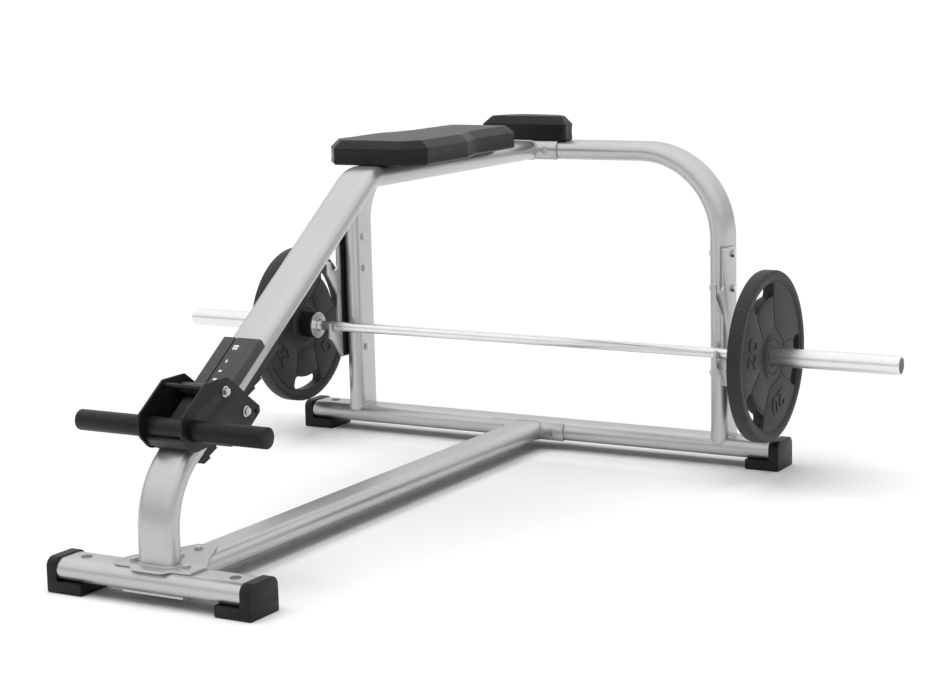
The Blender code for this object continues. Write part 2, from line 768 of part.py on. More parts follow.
def hook_outline():
    """The hook plate's side view: forward is negative x, up is y."""
    upper_finger = UPPER_NECK + UPPER_SLOT_WIDTH
    cradle_floor = BAR_HEIGHT - BAR_RADIUS - FIT_GAP
    cradle_back = BAR_FORWARD - CRADLE_WIDTH / 2
    cradle_front = BAR_FORWARD + CRADLE_WIDTH / 2
    chin_forward, chin_drop = CRADLE_CHIN
    upper_round = UPPER_SLOT_WIDTH / 2 - FIT_GAP
    cradle_round = CRADLE_WIDTH / 2 - FIT_GAP
    shape = [
        (-HOOK_REAR, HOOK_TOP, HOOK_PLATE_CORNER),
        (UPPER_NECK, HOOK_TOP, HOOK_PLATE_CORNER),
        (UPPER_NECK, UPPER_SLOT_FLOOR, upper_round),
        (upper_finger, UPPER_SLOT_FLOOR, upper_round),
        (upper_finger, UPPER_SLOT_FLOOR + UPPER_FINGER_RISE, HOOK_FINGER_CORNER),
        (HOOK_FRONT, UPPER_SLOT_FLOOR + UPPER_FINGER_RISE, HOOK_FINGER_CORNER),
        (HOOK_FRONT, UPPER_SLOT_FLOOR - UPPER_HEEL_FRONT_DROP, HOOK_FINGER_CORNER),
        (HOOK_NECK, UPPER_SLOT_FLOOR - UPPER_HEEL_BACK_DROP, HOOK_HEEL_RADIUS),
        (cradle_back, BAR_HEIGHT + CRADLE_WIDTH / 2, 0),
        (cradle_back, cradle_floor, cradle_round),
        (cradle_front, cradle_floor, cradle_round),
        (cradle_front, BAR_HEIGHT + CRADLE_FINGER_RISE, CRADLE_FINGER_CORNER),
        (HOOK_FRONT, BAR_HEIGHT + CRADLE_FINGER_RISE, CRADLE_FINGER_CORNER),
        (HOOK_FRONT, BAR_HEIGHT - CRADLE_HEEL_DROP, HOOK_PLATE_CORNER),
        (chin_forward, BAR_HEIGHT - chin_drop, CRADLE_CHIN_RADIUS),
        (CRADLE_BOTTOM_FRONT, HOOK_BOTTOM, CRADLE_BOTTOM_CORNER),
        (-HOOK_REAR, HOOK_BOTTOM, HOOK_PLATE_CORNER),
    ]
    corners = [(-forward, height) for forward, height, radius in shape]
    return rounded(corners, [radius for forward, height, radius in shape], HOOK_CORNER_STEP)


def bar_hooks(arch_tube):
    """A hook plate, its liner strip and its three bolts on each upright."""
    outline = hook_outline()
    tube_round = TUBE_HEIGHT / 2
    liner_depth = tube_round - LINER_THICKNESS
    liner_back = TUBE_FLAT + math.sqrt(tube_round ** 2 - liner_depth ** 2) + 2 * FIT_GAP
    liner_low = HOOK_BOTTOM + LINER_END_INSET
    liner_high = HOOK_TOP - LINER_END_INSET
    strip = [
        (-LINER_FRONT, liner_low),
        (-liner_back, liner_low),
        (-liner_back, liner_high),
        (-LINER_FRONT, liner_high),
    ]
    for side, word in ((-1, "left"), (1, "right")):
        middle = side * (ARCH_OUTER_FACE + FIT_GAP + HOOK_THICKNESS / 2)
        place = Matrix.Translation((middle, REAR_Y, 0)) @ ALONG_X
        name = f"hook_plate_{word}"
        hook = piece(name, plate_mesh(name, outline, HOOK_THICKNESS), SILVER_PAINT, place)
        liner_middle = side * (ARCH_OUTER_FACE - LINER_THICKNESS / 2)
        liner_place = Matrix.Translation((liner_middle, REAR_Y, 0)) @ ALONG_X
        liner = f"hook_liner_{word}"
        piece(liner, plate_mesh(liner, strip, LINER_THICKNESS), RUBBER, liner_place)
        head_x = side * (ARCH_OUTER_FACE + FIT_GAP + HOOK_THICKNESS)
        nut_x = side * ARCH_INNER_FACE
        y = REAR_Y - HOOK_BOLT_FORWARD
        for level, height in HOOK_BOLT_HEIGHTS.items():
            bolt(f"hook_bolt_{word}_{level}", (head_x, y, height), (nut_x, y, height), (hook, arch_tube))


# Pads

def pad_ring(corners, inset):
    """A pad's outline drawn in by an inset, with its corners rounded."""
    return rounded(offset(corners, -inset), [PAD_CORNER_RADIUS] * len(corners))


def crown_ring(outline):
    """The outline where the top's crown levels out."""
    middle = sum(outline, Vector((0, 0))) / len(outline)
    return [middle + (point - middle) * PAD_CROWN_SHARE for point in outline]


def cushion(name, corners, thickness, bevel_drop, board_inset, board_depth):
    """A stuffed pad: drawn-in sides, a sloping top edge, a low crown and a recess for its board."""
    low = PAD_SEAT
    top = low + thickness
    seam = top - bevel_drop
    recess = board_inset - FIT_GAP
    rings = [
        (pad_ring(corners, recess), low + board_depth + FIT_GAP),
        (pad_ring(corners, recess), low),
        (pad_ring(corners, PAD_HEM), low),
        (pad_ring(corners, 0), low + PAD_HEM),
        (pad_ring(corners, PAD_SIDE_DRAW), (low + seam) / 2),
        (pad_ring(corners, 0), seam),
        (pad_ring(corners, PAD_BEVEL_INSET), top - PAD_CROWN),
        (crown_ring(pad_ring(corners, PAD_BEVEL_INSET)), top),
    ]
    return piece(name, lofted_mesh(name, rings), VINYL)


def pad_board(name, corners, inset, thickness):
    """The board let into a pad's underside."""
    place = Matrix.Translation((0, 0, PAD_SEAT + thickness / 2))
    piece(name, plate_mesh(name, pad_ring(corners, inset), thickness), BLACK_PAINT, place)


def body_pad():
    """The long pad on the spine's level run, narrower behind, and the board in its underside."""
    front = CORNER_Y + BODY_PAD_FRONT
    end = front + BODY_PAD_LENGTH
    half = [
        (BODY_PAD_NOSE_HALF_WIDTH, front),
        (BODY_PAD_HALF_WIDTH, front + BODY_PAD_NOSE_LENGTH),
        (BODY_PAD_HALF_WIDTH, front + BODY_PAD_WIDE_LENGTH),
        (BODY_PAD_TAIL_HALF_WIDTH, front + BODY_PAD_TAPER_LENGTH),
        (BODY_PAD_TAIL_HALF_WIDTH, end - BODY_PAD_TAIL_CHAMFER),
        (BODY_PAD_TAIL_HALF_WIDTH - BODY_PAD_TAIL_CHAMFER, end),
    ]
    corners = mirrored(half)
    inset, depth = BODY_BOARD_INSET, BODY_BOARD_THICKNESS
    cushion("body_pad", corners, BODY_PAD_THICKNESS, BODY_PAD_BEVEL_DROP, inset, depth)
    pad_board("body_pad_board", corners, inset, depth)


def head_pad():
    """The short cross pad over the arch beam, and the board in its underside."""
    front = REAR_Y - HEAD_PAD_FRONT
    end = REAR_Y + HEAD_PAD_REAR
    rear_half = HEAD_PAD_HALF_WIDTH - HEAD_PAD_TAPER
    half = [
        (HEAD_PAD_HALF_WIDTH, front),
        (rear_half, end - HEAD_PAD_REAR_CHAMFER),
        (rear_half - HEAD_PAD_REAR_CHAMFER, end),
    ]
    corners = mirrored(half)
    inset, depth = HEAD_BOARD_INSET, HEAD_BOARD_THICKNESS
    cushion("head_pad", corners, HEAD_PAD_THICKNESS, HEAD_PAD_BEVEL_DROP, inset, depth)
    pad_board("head_pad_board", corners, inset, depth)


# Index cover and lock rack

def slope_empty(name):
    """Axes on the slope: X across, Y up the slope, Z out of it, from the spine's upper corner."""
    axes = bpy.data.objects.new(name, None)
    pieces.objects.link(axes)
    axes.matrix_world = Matrix.Translation((0, CORNER_Y, BEAM_Z)) @ Matrix.Rotation(SLOPE, 4, "X")
    return axes


def index_cover(slope):
    """The dark strip that caps the slope's upper face, with one groove along it."""
    top = COVER_TOP_HEIGHT
    edge = COVER_HALF_WIDTH
    shoulder = edge - COVER_SHOULDER_DROP
    skirt = TUBE_HEIGHT / 2 - COVER_SKIRT
    inner = AROUND_TUBE
    reach = math.asin(skirt / inner)
    groove_left = -COVER_GROOVE - COVER_GROOVE_WIDTH / 2
    groove_right = groove_left + COVER_GROOVE_WIDTH
    groove_floor = top - COVER_GROOVE_DEPTH
    outer = [
        (edge, skirt),
        (edge, top - COVER_SHOULDER_DROP),
        (shoulder, top),
        (groove_right, top),
        (groove_right, groove_floor),
        (groove_left, groove_floor),
        (groove_left, top),
        (-shoulder, top),
        (-edge, top - COVER_SHOULDER_DROP),
        (-edge, skirt),
    ]
    left = arc((-TUBE_FLAT, 0), inner, math.pi - reach, math.pi / 2)
    right = arc((TUBE_FLAT, 0), inner, math.pi / 2, reach)
    outline = [Vector(point) for point in outer] + left + right
    middle = COVER_TOP - COVER_LENGTH / 2
    place = Matrix.Translation((0, middle, 0)) @ ALONG_Y
    mesh = plate_mesh("index_cover", outline, COVER_LENGTH)
    return piece("index_cover", mesh, PLASTIC, place, slope)


def lock_rack(slope):
    """The toothed bar under the slope; each tooth's upright face holds the pawl from below."""
    end = RACK_TOP - RACK_LENGTH
    root = RACK_SEAT - RACK_ROOT
    outline = [(RACK_TOP, RACK_SEAT), (end + RACK_HEEL, RACK_SEAT), (end, RACK_SEAT - RACK_HEEL), (end, root)]
    first = PAWL_TOOTH_STATION - PAWL_TOOTH_LENGTH / 2 - PAWL_TOOTH_PLAY - TEETH_BELOW_PAWL * TOOTH_PITCH
    for index in range(TOOTH_COUNT + 1):
        face = first + index * TOOTH_PITCH
        outline += [(face, RACK_TIP), (face, root)]
    outline.append((RACK_TOP, root))
    hole = circle((end + RACK_HOLE_FROM_END, RACK_SEAT - RACK_HEEL - RACK_HOLE_RADIUS), RACK_HOLE_RADIUS)
    mesh = plate_mesh("lock_rack", outline, 2 * RACK_HALF_WIDTH, [hole])
    return piece("lock_rack", mesh, BLACK_PAINT, ALONG_X, slope)


# Foot carriage

def side_plates(carriage):
    """The two plates that carry the foot bar, the rollers and the latch."""
    radii = [SIDE_PLATE_CORNER] * len(SIDE_PLATE_OUTLINE)
    for corner in SIDE_PLATE_NOSE:
        radii[corner] = SIDE_PLATE_NOSE_RADIUS
    outline = rounded(SIDE_PLATE_OUTLINE, radii)
    holes = [
        circle((FOOT_BAR_STATION, FOOT_BAR_HEIGHT), clear(FOOT_BAR_RADIUS, ROUND_STEPS), ROUND_STEPS),
        circle((UPPER_ROLLER_STATION, UPPER_ROLLER_HEIGHT), clear(BOLT_RADIUS)),
        circle((LOWER_ROLLER_STATION, LOWER_ROLLER_HEIGHT), clear(BOLT_RADIUS)),
        circle(PAWL_PIVOT, clear(PAWL_PIN_RADIUS)),
    ]
    for side, word in ((-1, "left"), (1, "right")):
        name = f"carriage_plate_{word}"
        place = Matrix.Translation((side * (SIDE_PLATE_INNER + SIDE_PLATE_THICKNESS / 2), 0, 0)) @ ALONG_X
        piece(name, plate_mesh(name, outline, SIDE_PLATE_THICKNESS, holes), BLACK_PAINT, place, carriage)


def across(station, height):
    """The placement of a round piece that lies across the slope."""
    return Matrix.Translation((0, station, height)) @ ALONG_X


def foot_bar(carriage):
    """The bar through both side plates, thick between them, with a grip on each end."""
    shoulder = SIDE_PLATE_INNER - FIT_GAP
    end = FOOT_BAR_SPAN / 2 - FOOT_GRIP_END_WALL - FIT_GAP
    profile = [
        (0, end),
        (FOOT_BAR_RADIUS, end),
        (FOOT_BAR_RADIUS, shoulder),
        (FOOT_GRIP_RADIUS, shoulder),
        (FOOT_GRIP_RADIUS, -shoulder),
        (FOOT_BAR_RADIUS, -shoulder),
        (FOOT_BAR_RADIUS, -end),
        (0, -end),
    ]
    place = across(FOOT_BAR_STATION, FOOT_BAR_HEIGHT)
    piece("foot_bar", turned_mesh("foot_bar", profile), BLACK_PAINT, place, carriage)
    bore = clear(FOOT_BAR_RADIUS, ROUND_STEPS)
    outer_end = FOOT_BAR_SPAN / 2
    inner_end = SIDE_PLATE_OUTER + FIT_GAP
    grip = [
        (0, outer_end),
        (FOOT_GRIP_RADIUS - FOOT_GRIP_CHAMFER, outer_end),
        (FOOT_GRIP_RADIUS, outer_end - FOOT_GRIP_CHAMFER),
        (FOOT_GRIP_RADIUS, inner_end),
        (bore, inner_end),
        (bore, outer_end - FOOT_GRIP_END_WALL),
        (0, outer_end - FOOT_GRIP_END_WALL),
    ]
    for side, word in ((-1, "left"), (1, "right")):
        name = f"foot_grip_{word}"
        turn = Matrix.Identity(4) if side > 0 else Matrix.Rotation(math.pi, 4, "X")
        piece(name, turned_mesh(name, grip), RUBBER, place @ turn, carriage)


def cross_rod(carriage):
    """The thin rod between the side plates' upper corners."""
    half = SIDE_PLATE_INNER - FIT_GAP
    mesh = rod_mesh("cross_rod", CROSS_ROD_RADIUS, -half, half, BOLT_STEPS)
    piece("cross_rod", mesh, BLACK_PAINT, across(CROSS_ROD_STATION, CROSS_ROD_HEIGHT), carriage)


def axle_profile(inner_end, inner_radius):
    """Half of a roller axle from its inner end to the head outside the side plate."""
    head_start = SIDE_PLATE_OUTER + FIT_GAP
    return [
        (0, head_start + BOLT_HEAD_HEIGHT),
        (BOLT_HEX_RADIUS, head_start + BOLT_HEAD_HEIGHT),
        (BOLT_HEX_RADIUS, head_start),
        (BOLT_RADIUS, head_start),
        (BOLT_RADIUS, inner_end + AXLE_INNER_FLANGE),
        (inner_radius, inner_end + AXLE_INNER_FLANGE),
        (inner_radius, inner_end),
        (0, inner_end),
    ]


def rollers(carriage):
    """One roller on the index cover and two under the spine, each on its axle."""
    upper = across(UPPER_ROLLER_STATION, UPPER_ROLLER_HEIGHT)
    head_start = SIDE_PLATE_OUTER + FIT_GAP
    head_end = head_start + BOLT_HEAD_HEIGHT
    axle = [
        (0, head_end),
        (BOLT_HEX_RADIUS, head_end),
        (BOLT_HEX_RADIUS, head_start),
        (BOLT_RADIUS, head_start),
        (BOLT_RADIUS, -head_start),
        (BOLT_HEX_RADIUS, -head_start),
        (BOLT_HEX_RADIUS, -head_end),
        (0, -head_end),
    ]
    piece("upper_axle", turned_mesh("upper_axle", axle, BOLT_STEPS), ZINC, upper, carriage)
    bore = clear(BOLT_RADIUS)
    long = UPPER_ROLLER_HALF_LENGTH
    mesh = ring_mesh("upper_roller", bore, ROLLER_RADIUS, -long, long, BOLT_STEPS)
    piece("upper_roller", mesh, PLASTIC, upper, carriage)
    lower = across(LOWER_ROLLER_STATION, LOWER_ROLLER_HEIGHT)
    stub = axle_profile(LOWER_ROLLER_INNER - FIT_GAP - AXLE_INNER_FLANGE, AXLE_FLANGE_RADIUS)
    for side, word in ((-1, "left"), (1, "right")):
        turn = Matrix.Identity(4) if side > 0 else Matrix.Rotation(math.pi, 4, "X")
        axle_name = f"lower_axle_{word}"
        piece(axle_name, turned_mesh(axle_name, stub, BOLT_STEPS), ZINC, lower @ turn, carriage)
        name = f"lower_roller_{word}"
        ring = ring_mesh(name, bore, ROLLER_RADIUS, LOWER_ROLLER_INNER, LOWER_ROLLER_OUTER, BOLT_STEPS)
        piece(name, ring, PLASTIC, lower @ turn, carriage)


def glide_block(carriage):
    """The block that rides on the index cover under the foot bar."""
    half = SIDE_PLATE_INNER - FIT_GAP
    low = COVER_TOP_HEIGHT + FIT_GAP
    corners = ((-half, GLIDE_LOW_STATION, low), (half, FOOT_BAR_STATION, low + GLIDE_HEIGHT))
    mesh = box_mesh("lower_glide", *corners)
    made = piece("lower_glide", mesh, PLASTIC, parent=carriage)
    room = clear(FOOT_GRIP_RADIUS, ROUND_STEPS)
    bar = rod_mesh("foot_bar_room", room, -2 * half, 2 * half)
    cut(made, cutter("foot_bar_room", bar, across(FOOT_BAR_STATION, FOOT_BAR_HEIGHT), carriage))
    return made


def latch_pawl(carriage):
    """A U-shaped pawl on two side pins, its tooth in line with the rack."""
    pivot = bpy.data.objects.new("latch_pivot", None)
    pieces.objects.link(pivot)
    pivot.parent = carriage
    pivot.matrix_local = Matrix.Translation((0, *PAWL_PIVOT))
    low = PAWL_BLOCK_LOW_STATION - PAWL_PIVOT[0]
    top = PAWL_BLOCK_TOP - PAWL_PIVOT[1]
    bottom = top - PAWL_BLOCK_THICKNESS
    boss = arc((0, 0), PAWL_BOSS_RADIUS, PAWL_BOSS_START, PAWL_BOSS_END, PAWL_BOSS_STEP)
    nose_end = low * PAWL_BLOCK_NOSE_SHARE
    arm_back = [(low * PAWL_ARM_TOP_SHARE, top), (low, top), (low, bottom), (nose_end, bottom)]
    mesh = plate_mesh("latch_pawl", boss + arm_back, 2 * PAWL_HALF_WIDTH)
    made = piece("latch_pawl", mesh, BLACK_PAINT, ALONG_X, pivot)
    inner = PAWL_HALF_WIDTH - PAWL_ARM_THICKNESS
    reach = PAWL_BOSS_RADIUS * 3
    slot = box_mesh("pawl_slot", (-inner, low * 2, top), (inner, reach, reach))
    cut(made, cutter("pawl_slot", slot, parent=pivot))
    nose = box_mesh("pawl_nose", (-inner, nose_end - FIT_GAP, bottom * 2), (inner, reach, reach))
    cut(made, cutter("pawl_nose", nose, parent=pivot))
    tooth_low = PAWL_TOOTH_STATION - PAWL_TOOTH_LENGTH / 2 - PAWL_PIVOT[0]
    tooth_high = tooth_low + PAWL_TOOTH_LENGTH
    tooth_top = RACK_TIP - PAWL_TOOTH_CLEARANCE - PAWL_PIVOT[1]
    tooth = [
        (tooth_low, (top + bottom) / 2),
        (tooth_high, (top + bottom) / 2),
        (tooth_high, tooth_top - PAWL_TOOTH_LENGTH / 2),
        ((tooth_low + tooth_high) / 2, tooth_top),
        (tooth_low, tooth_top),
    ]
    tooth_mesh = plate_mesh("pawl_tooth", tooth, 2 * PAWL_TOOTH_HALF_WIDTH)
    cut(made, cutter("pawl_tooth", tooth_mesh, ALONG_X, pivot), "UNION")
    for side in (-1, 1):
        ends = sorted((side * (inner + FIT_GAP), side * PAWL_PIN_END))
        pin = rod_mesh(f"pawl_pin_{side}", PAWL_PIN_RADIUS, ends[0], ends[1], BOLT_STEPS)
        cut(made, cutter(f"pawl_pin_{side}", pin, ALONG_X, pivot), "UNION")
    return made


# Barbell and weight plates

def bar_empty(name, parent=None):
    """Axes on the barbell's centre line."""
    axes = bpy.data.objects.new(name, None)
    pieces.objects.link(axes)
    axes.parent = parent
    axes.matrix_local = Matrix.Translation((0, BAR_Y, BAR_HEIGHT)) if parent is None else Matrix.Identity(4)
    return axes


def sleeve_profile():
    """A sleeve closed at its outer end, with a flange at its inner end."""
    flange_end = SLEEVE_START + FLANGE_THICKNESS
    return [
        (0, SLEEVE_END),
        (SLEEVE_RADIUS - SLEEVE_CHAMFER, SLEEVE_END),
        (SLEEVE_RADIUS, SLEEVE_END - SLEEVE_CHAMFER),
        (SLEEVE_RADIUS, flange_end),
        (FLANGE_RADIUS, flange_end),
        (FLANGE_RADIUS, SLEEVE_START),
        (SLEEVE_BORE, SLEEVE_START),
        (SLEEVE_BORE, SLEEVE_END - SLEEVE_END_WALL),
        (0, SLEEVE_END - SLEEVE_END_WALL),
    ]


def plate_profile():
    """Half of a weight plate's section: rim, thinner web and hub round the bore."""
    half = PLATE_THICKNESS / 2
    web = PLATE_WEB_THICKNESS / 2
    rim = PLATE_RADIUS - PLATE_RIM
    bore = clear(SLEEVE_RADIUS, PLATE_STEPS)
    face = [
        (bore, half),
        (PLATE_HUB_RADIUS - PLATE_EDGE, half),
        (PLATE_HUB_RADIUS, web),
        (rim, web),
        (rim + PLATE_EDGE, half),
        (PLATE_RADIUS - PLATE_EDGE, half),
        (PLATE_RADIUS, half - PLATE_EDGE),
    ]
    return face + [(radius, -height) for radius, height in reversed(face)]


def grip_window(turn):
    """A grip window's outline with its corners cut."""
    half = WINDOW_HALF_ANGLE
    outer_trim = WINDOW_CORNER / WINDOW_OUTER
    inner_trim = WINDOW_CORNER / WINDOW_INNER
    outer_cut = WINDOW_OUTER - WINDOW_CORNER
    inner_cut = WINDOW_INNER + WINDOW_CORNER
    outline = arc((0, 0), WINDOW_OUTER, turn - half + outer_trim, turn + half - outer_trim)
    outline += [polar(outer_cut, turn + half), polar(inner_cut, turn + half)]
    outline += arc((0, 0), WINDOW_INNER, turn + half - inner_trim, turn - half + inner_trim)
    outline += [polar(inner_cut, turn - half), polar(outer_cut, turn - half)]
    return outline


def weight_plate(word, side, turn, face, bar):
    """One weight plate with its three grip windows."""
    middle = side * (face + PLATE_THICKNESS / 2)
    place = Matrix.Translation((middle, 0, 0)) @ ALONG_X
    name = f"weight_plate_{word}"
    mesh = turned_mesh(name, plate_profile(), PLATE_STEPS, ring=True)
    made = piece(name, mesh, PLATE_RUBBER, place, bar)
    for index in range(WINDOW_COUNT):
        angle = turn + index * 2 * math.pi / WINDOW_COUNT
        window = plate_mesh(f"window_{word}_{index}", grip_window(angle), 2 * PLATE_THICKNESS)
        cut(made, cutter(f"window_{word}_{index}", window, place, bar))


def barbell():
    """The shaft, and on each end a sleeve with its bushing, shoulder ring and weight plate."""
    bar = bar_empty("bar_axis")
    shaft_end = SLEEVE_END - SLEEVE_END_WALL - BAR_END_PLAY
    shaft = rod_mesh("barbell_shaft", BAR_RADIUS, -shaft_end, shaft_end, chamfer=EDGE_CHAMFER)
    piece("barbell_shaft", shaft, CHROME, ALONG_X, bar)
    bushing_bore = clear(BAR_RADIUS, ROUND_STEPS)
    ring_bore = clear(SLEEVE_RADIUS, ROUND_STEPS)
    bushing_start = SLEEVE_START + FIT_GAP
    bushing_radius = SLEEVE_BORE * math.cos(math.pi / ROUND_STEPS) - FIT_GAP
    ring_start = SLEEVE_START + FLANGE_THICKNESS + FIT_GAP
    ends = (
        (-1, "left", LEFT_PLATE_TURN, LEFT_PLATE_FACE),
        (1, "right", RIGHT_PLATE_TURN, RIGHT_PLATE_FACE),
    )
    for side, word, turn, face in ends:
        facing = ALONG_X if side > 0 else ALONG_X @ Matrix.Rotation(math.pi, 4, "X")
        name = f"sleeve_{word}"
        piece(name, turned_mesh(name, sleeve_profile()), CHROME, facing, bar)
        name = f"sleeve_bushing_{word}"
        bushing = ring_mesh(name, bushing_bore, bushing_radius, bushing_start, bushing_start + BUSHING_LENGTH)
        piece(name, bushing, ZINC, facing, bar)
        name = f"collar_ring_{word}"
        ring = ring_mesh(name, ring_bore, COLLAR_RADIUS, ring_start, face - FIT_GAP)
        piece(name, ring, RUBBER, facing, bar)
        weight_plate(word, side, turn, face, bar)


# Assembly

def build():
    """Every piece of the bench."""
    front_space = tube_space(
        "front_bar_space", FRONT_BAR_SPAN - 2 * CAP_END_WALL, FIT_GAP, (0, FRONT_Y, BASE_Z)
    )
    rear_space = tube_space("rear_bar_space", REAR_BAR_SPAN - 2 * CAP_END_WALL, FIT_GAP, (0, REAR_Y, BASE_Z))
    base_saddle_space = saddle_space("base_saddle_space", BASE_Z)
    top_saddle_space = saddle_space("top_saddle_space", BEAM_Z)
    front_bar = base_bar("front_bar_tube", FRONT_Y, FRONT_BAR_SPAN)
    rear_bar = base_bar("rear_bar_tube", REAR_Y, REAR_BAR_SPAN)
    for side, word in ((-1, "left"), (1, "right")):
        foot_cap(f"foot_cap_front_{word}", side, FRONT_Y, FRONT_BAR_SPAN, front_space)
        foot_cap(f"foot_cap_rear_{word}", side, REAR_Y, REAR_BAR_SPAN, rear_space)
    rail = base_rail(front_space, base_saddle_space)
    lower_saddle = saddle("base_saddle", BASE_Z, BASE_SADDLE_HALF_SPAN)
    saddle_bolts("base_saddle_bolt", BASE_SADDLE_BOLT, BASE_Z, (lower_saddle, rear_bar))
    base_bolts(base_plate(), clamp_plate(), front_bar, rail)
    arch_tube = arch(rear_space)
    spine(top_saddle_space)
    upper_saddle = saddle("top_saddle", BEAM_Z, TOP_SADDLE_HALF_SPAN)
    saddle_bolts("top_saddle_bolt", TOP_SADDLE_BOLT, BEAM_Z, (upper_saddle, arch_tube))
    bar_hooks(arch_tube)
    body_pad()
    head_pad()
    slope = slope_empty("slope_axes")
    index_cover(slope)
    lock_rack(slope)
    carriage = slope_empty("carriage_axes")
    side_plates(carriage)
    foot_bar(carriage)
    cross_rod(carriage)
    rollers(carriage)
    glide_block(carriage)
    latch_pawl(carriage)
    barbell()


build()
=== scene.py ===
import math

import bmesh
import bpy
from mathutils import Matrix, Vector, noise

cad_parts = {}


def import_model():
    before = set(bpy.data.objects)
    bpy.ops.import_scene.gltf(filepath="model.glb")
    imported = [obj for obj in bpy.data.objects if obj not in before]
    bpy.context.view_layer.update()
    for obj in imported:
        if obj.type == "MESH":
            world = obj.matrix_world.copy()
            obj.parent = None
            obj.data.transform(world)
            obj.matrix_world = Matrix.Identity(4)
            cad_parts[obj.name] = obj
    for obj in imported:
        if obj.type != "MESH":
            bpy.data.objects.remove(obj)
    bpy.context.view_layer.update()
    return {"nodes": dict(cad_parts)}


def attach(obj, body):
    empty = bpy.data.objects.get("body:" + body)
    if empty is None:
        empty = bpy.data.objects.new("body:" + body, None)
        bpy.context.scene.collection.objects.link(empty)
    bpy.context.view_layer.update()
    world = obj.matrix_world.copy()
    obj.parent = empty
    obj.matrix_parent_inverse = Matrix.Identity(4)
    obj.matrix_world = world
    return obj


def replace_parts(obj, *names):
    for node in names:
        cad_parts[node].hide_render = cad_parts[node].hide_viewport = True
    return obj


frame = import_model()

GAP = 0.0003
JOIN_DISTANCE = 0.00001
STEP = math.radians(4)
ROUND = 64

# Frame tube and base
TUBE_WIDTH = 0.100
TUBE_HEIGHT = 0.050
TUBE_WALL = 0.003
TUBE_FLAT = (TUBE_WIDTH - TUBE_HEIGHT) / 2
HALF_TUBE = TUBE_HEIGHT / 2
CLEARANCE = 0.026
BASE_LENGTH = 1.715
FRONT_SPAN = 0.545
REAR_SPAN = 1.500
CAP_WIDTH = TUBE_WIDTH + 0.004
CAP_HEIGHT = CLEARANCE + TUBE_HEIGHT + 0.003
CAP_WALL = 0.005
CAP_COLLAR = 0.028
CAP_FOOT = 0.094
BAR_FORWARD = 0.097
PLATE_RADIUS = 0.225
OVERALL_LENGTH = CAP_WIDTH / 2 + BASE_LENGTH - BAR_FORWARD + PLATE_RADIUS
FRONT_Y = CAP_WIDTH / 2 - OVERALL_LENGTH / 2
REAR_Y = FRONT_Y + BASE_LENGTH
BAR_Y = REAR_Y - BAR_FORWARD
BASE_Z = CLEARANCE + HALF_TUBE
BASE_TOP = CLEARANCE + TUBE_HEIGHT
CAP_LOW_CORNER = 0.005
CAP_HIGH_CORNER = 0.022
CAP_RIB_PITCH = 0.011
PLUG_RADIUS = 0.013
FRONT_PLUG_X = 0.20
REAR_PLUG_X = 0.673
FOOT_LAP = 0.016

# Arch and spine
ARCH_HALF = 0.575
ARCH_TOP = 0.860
BEAM_Z = ARCH_TOP - HALF_TUBE
ARCH_BEND = 0.225
SLOPE = math.radians(35)
STUB_Y = FRONT_Y + 0.003
STUB_CORNER = 0.2468
STUB_BEND = 0.187
LEVEL_BEND = 0.100
BASE_PLATE = 0.006
BASE_PLATE_HALF = (
    (0.040, -0.051), (0.056, -0.030), (0.105, -0.030), (0.105, 0.030), (0.074, 0.078), (0.025, 0.175),
)
BASE_PLATE_RADII = [0.004, 0.004, 0.010, 0.010, 0.010, 0.010]
CLAMP = 0.006
CLAMP_HALF = (
    (0.082, -0.030), (0.082, -0.014), (0.150, -0.012), (0.150, 0.012), (0.082, 0.014), (0.082, 0.030),
)
CLAMP_RADIUS = 0.003
STUB_BASE = BASE_TOP + BASE_PLATE + 2 * GAP
CORNER_Y = STUB_Y + (BEAM_Z - STUB_CORNER) / math.tan(SLOPE)
SADDLE = 0.005
AROUND_TUBE = (HALF_TUBE + GAP) / math.cos(math.radians(7.5))
SADDLE_OUTER = AROUND_TUBE + SADDLE
SADDLE_WRAP = math.radians(55)
BASE_SADDLE_HALF = 0.112
TOP_SADDLE_HALF = 0.107
BEAD = 0.0022
SPINE_BEAD = 0.0026

# Bolts
BOLT = 0.005
HEX = 0.0098
HEAD = 0.0064
NUT = 0.0070
WASHER = 0.0108
WASHER_THICKNESS = 0.0012
BASE_SADDLE_BOLT_X = 0.080
TOP_SADDLE_BOLT_X = 0.073
BASE_BOLT_X = 0.070
RAIL_BOLTS = ((0.072, "front"), (0.140, "rear"))

# Hooks
HOOK_PLATE = 0.008
HOOK_TOP = 0.590
HOOK_FOOT = 0.222
HOOK_BACK = 0.005
HOOK_NOSE = 0.125
HOOK_NECK = 0.0715
UPPER_SLOT = 0.0355
UPPER_SEAT = 0.478
CRADLE_HALF = 0.018
# A thin black strip on each upright's outer face in front of the tube: painted shade for the dark groove
# between hook plate and upright
SHADE_STRIP = 0.0025
SHADE_STRIP_FRONT = 0.060
SHADE_STRIP_LOW = 0.226
SHADE_STRIP_HIGH = 0.586
HOOK_BOLT_FORWARD = 0.014
HOOK_BOLT_HEIGHTS = (("top", 0.570), ("middle", 0.478), ("bottom", 0.247))

# Pads
PAD_SEAT = ARCH_TOP + GAP
PAD_BEVEL = 0.020
PAD_CROWN = 0.003
PAD_DRAW = 0.0015
PAD_HEM = 0.004
PAD_CORNER = 0.008
PAD_INSET_LIMIT = 0.045
BODY_PAD_START = 0.032
BODY_PAD_LENGTH = 0.577
BODY_PAD_THICKNESS = 0.063
BODY_PAD_DROP = 0.0225
BODY_BOARD = 0.009
BODY_BOARD_INSET = 0.012
HEAD_PAD_FRONT = 0.040
HEAD_PAD_REAR = 0.055
HEAD_PAD_THICKNESS = 0.0690
HEAD_PAD_DROP = 0.0245
HEAD_BOARD = 0.0095
HEAD_BOARD_INSET = 0.010

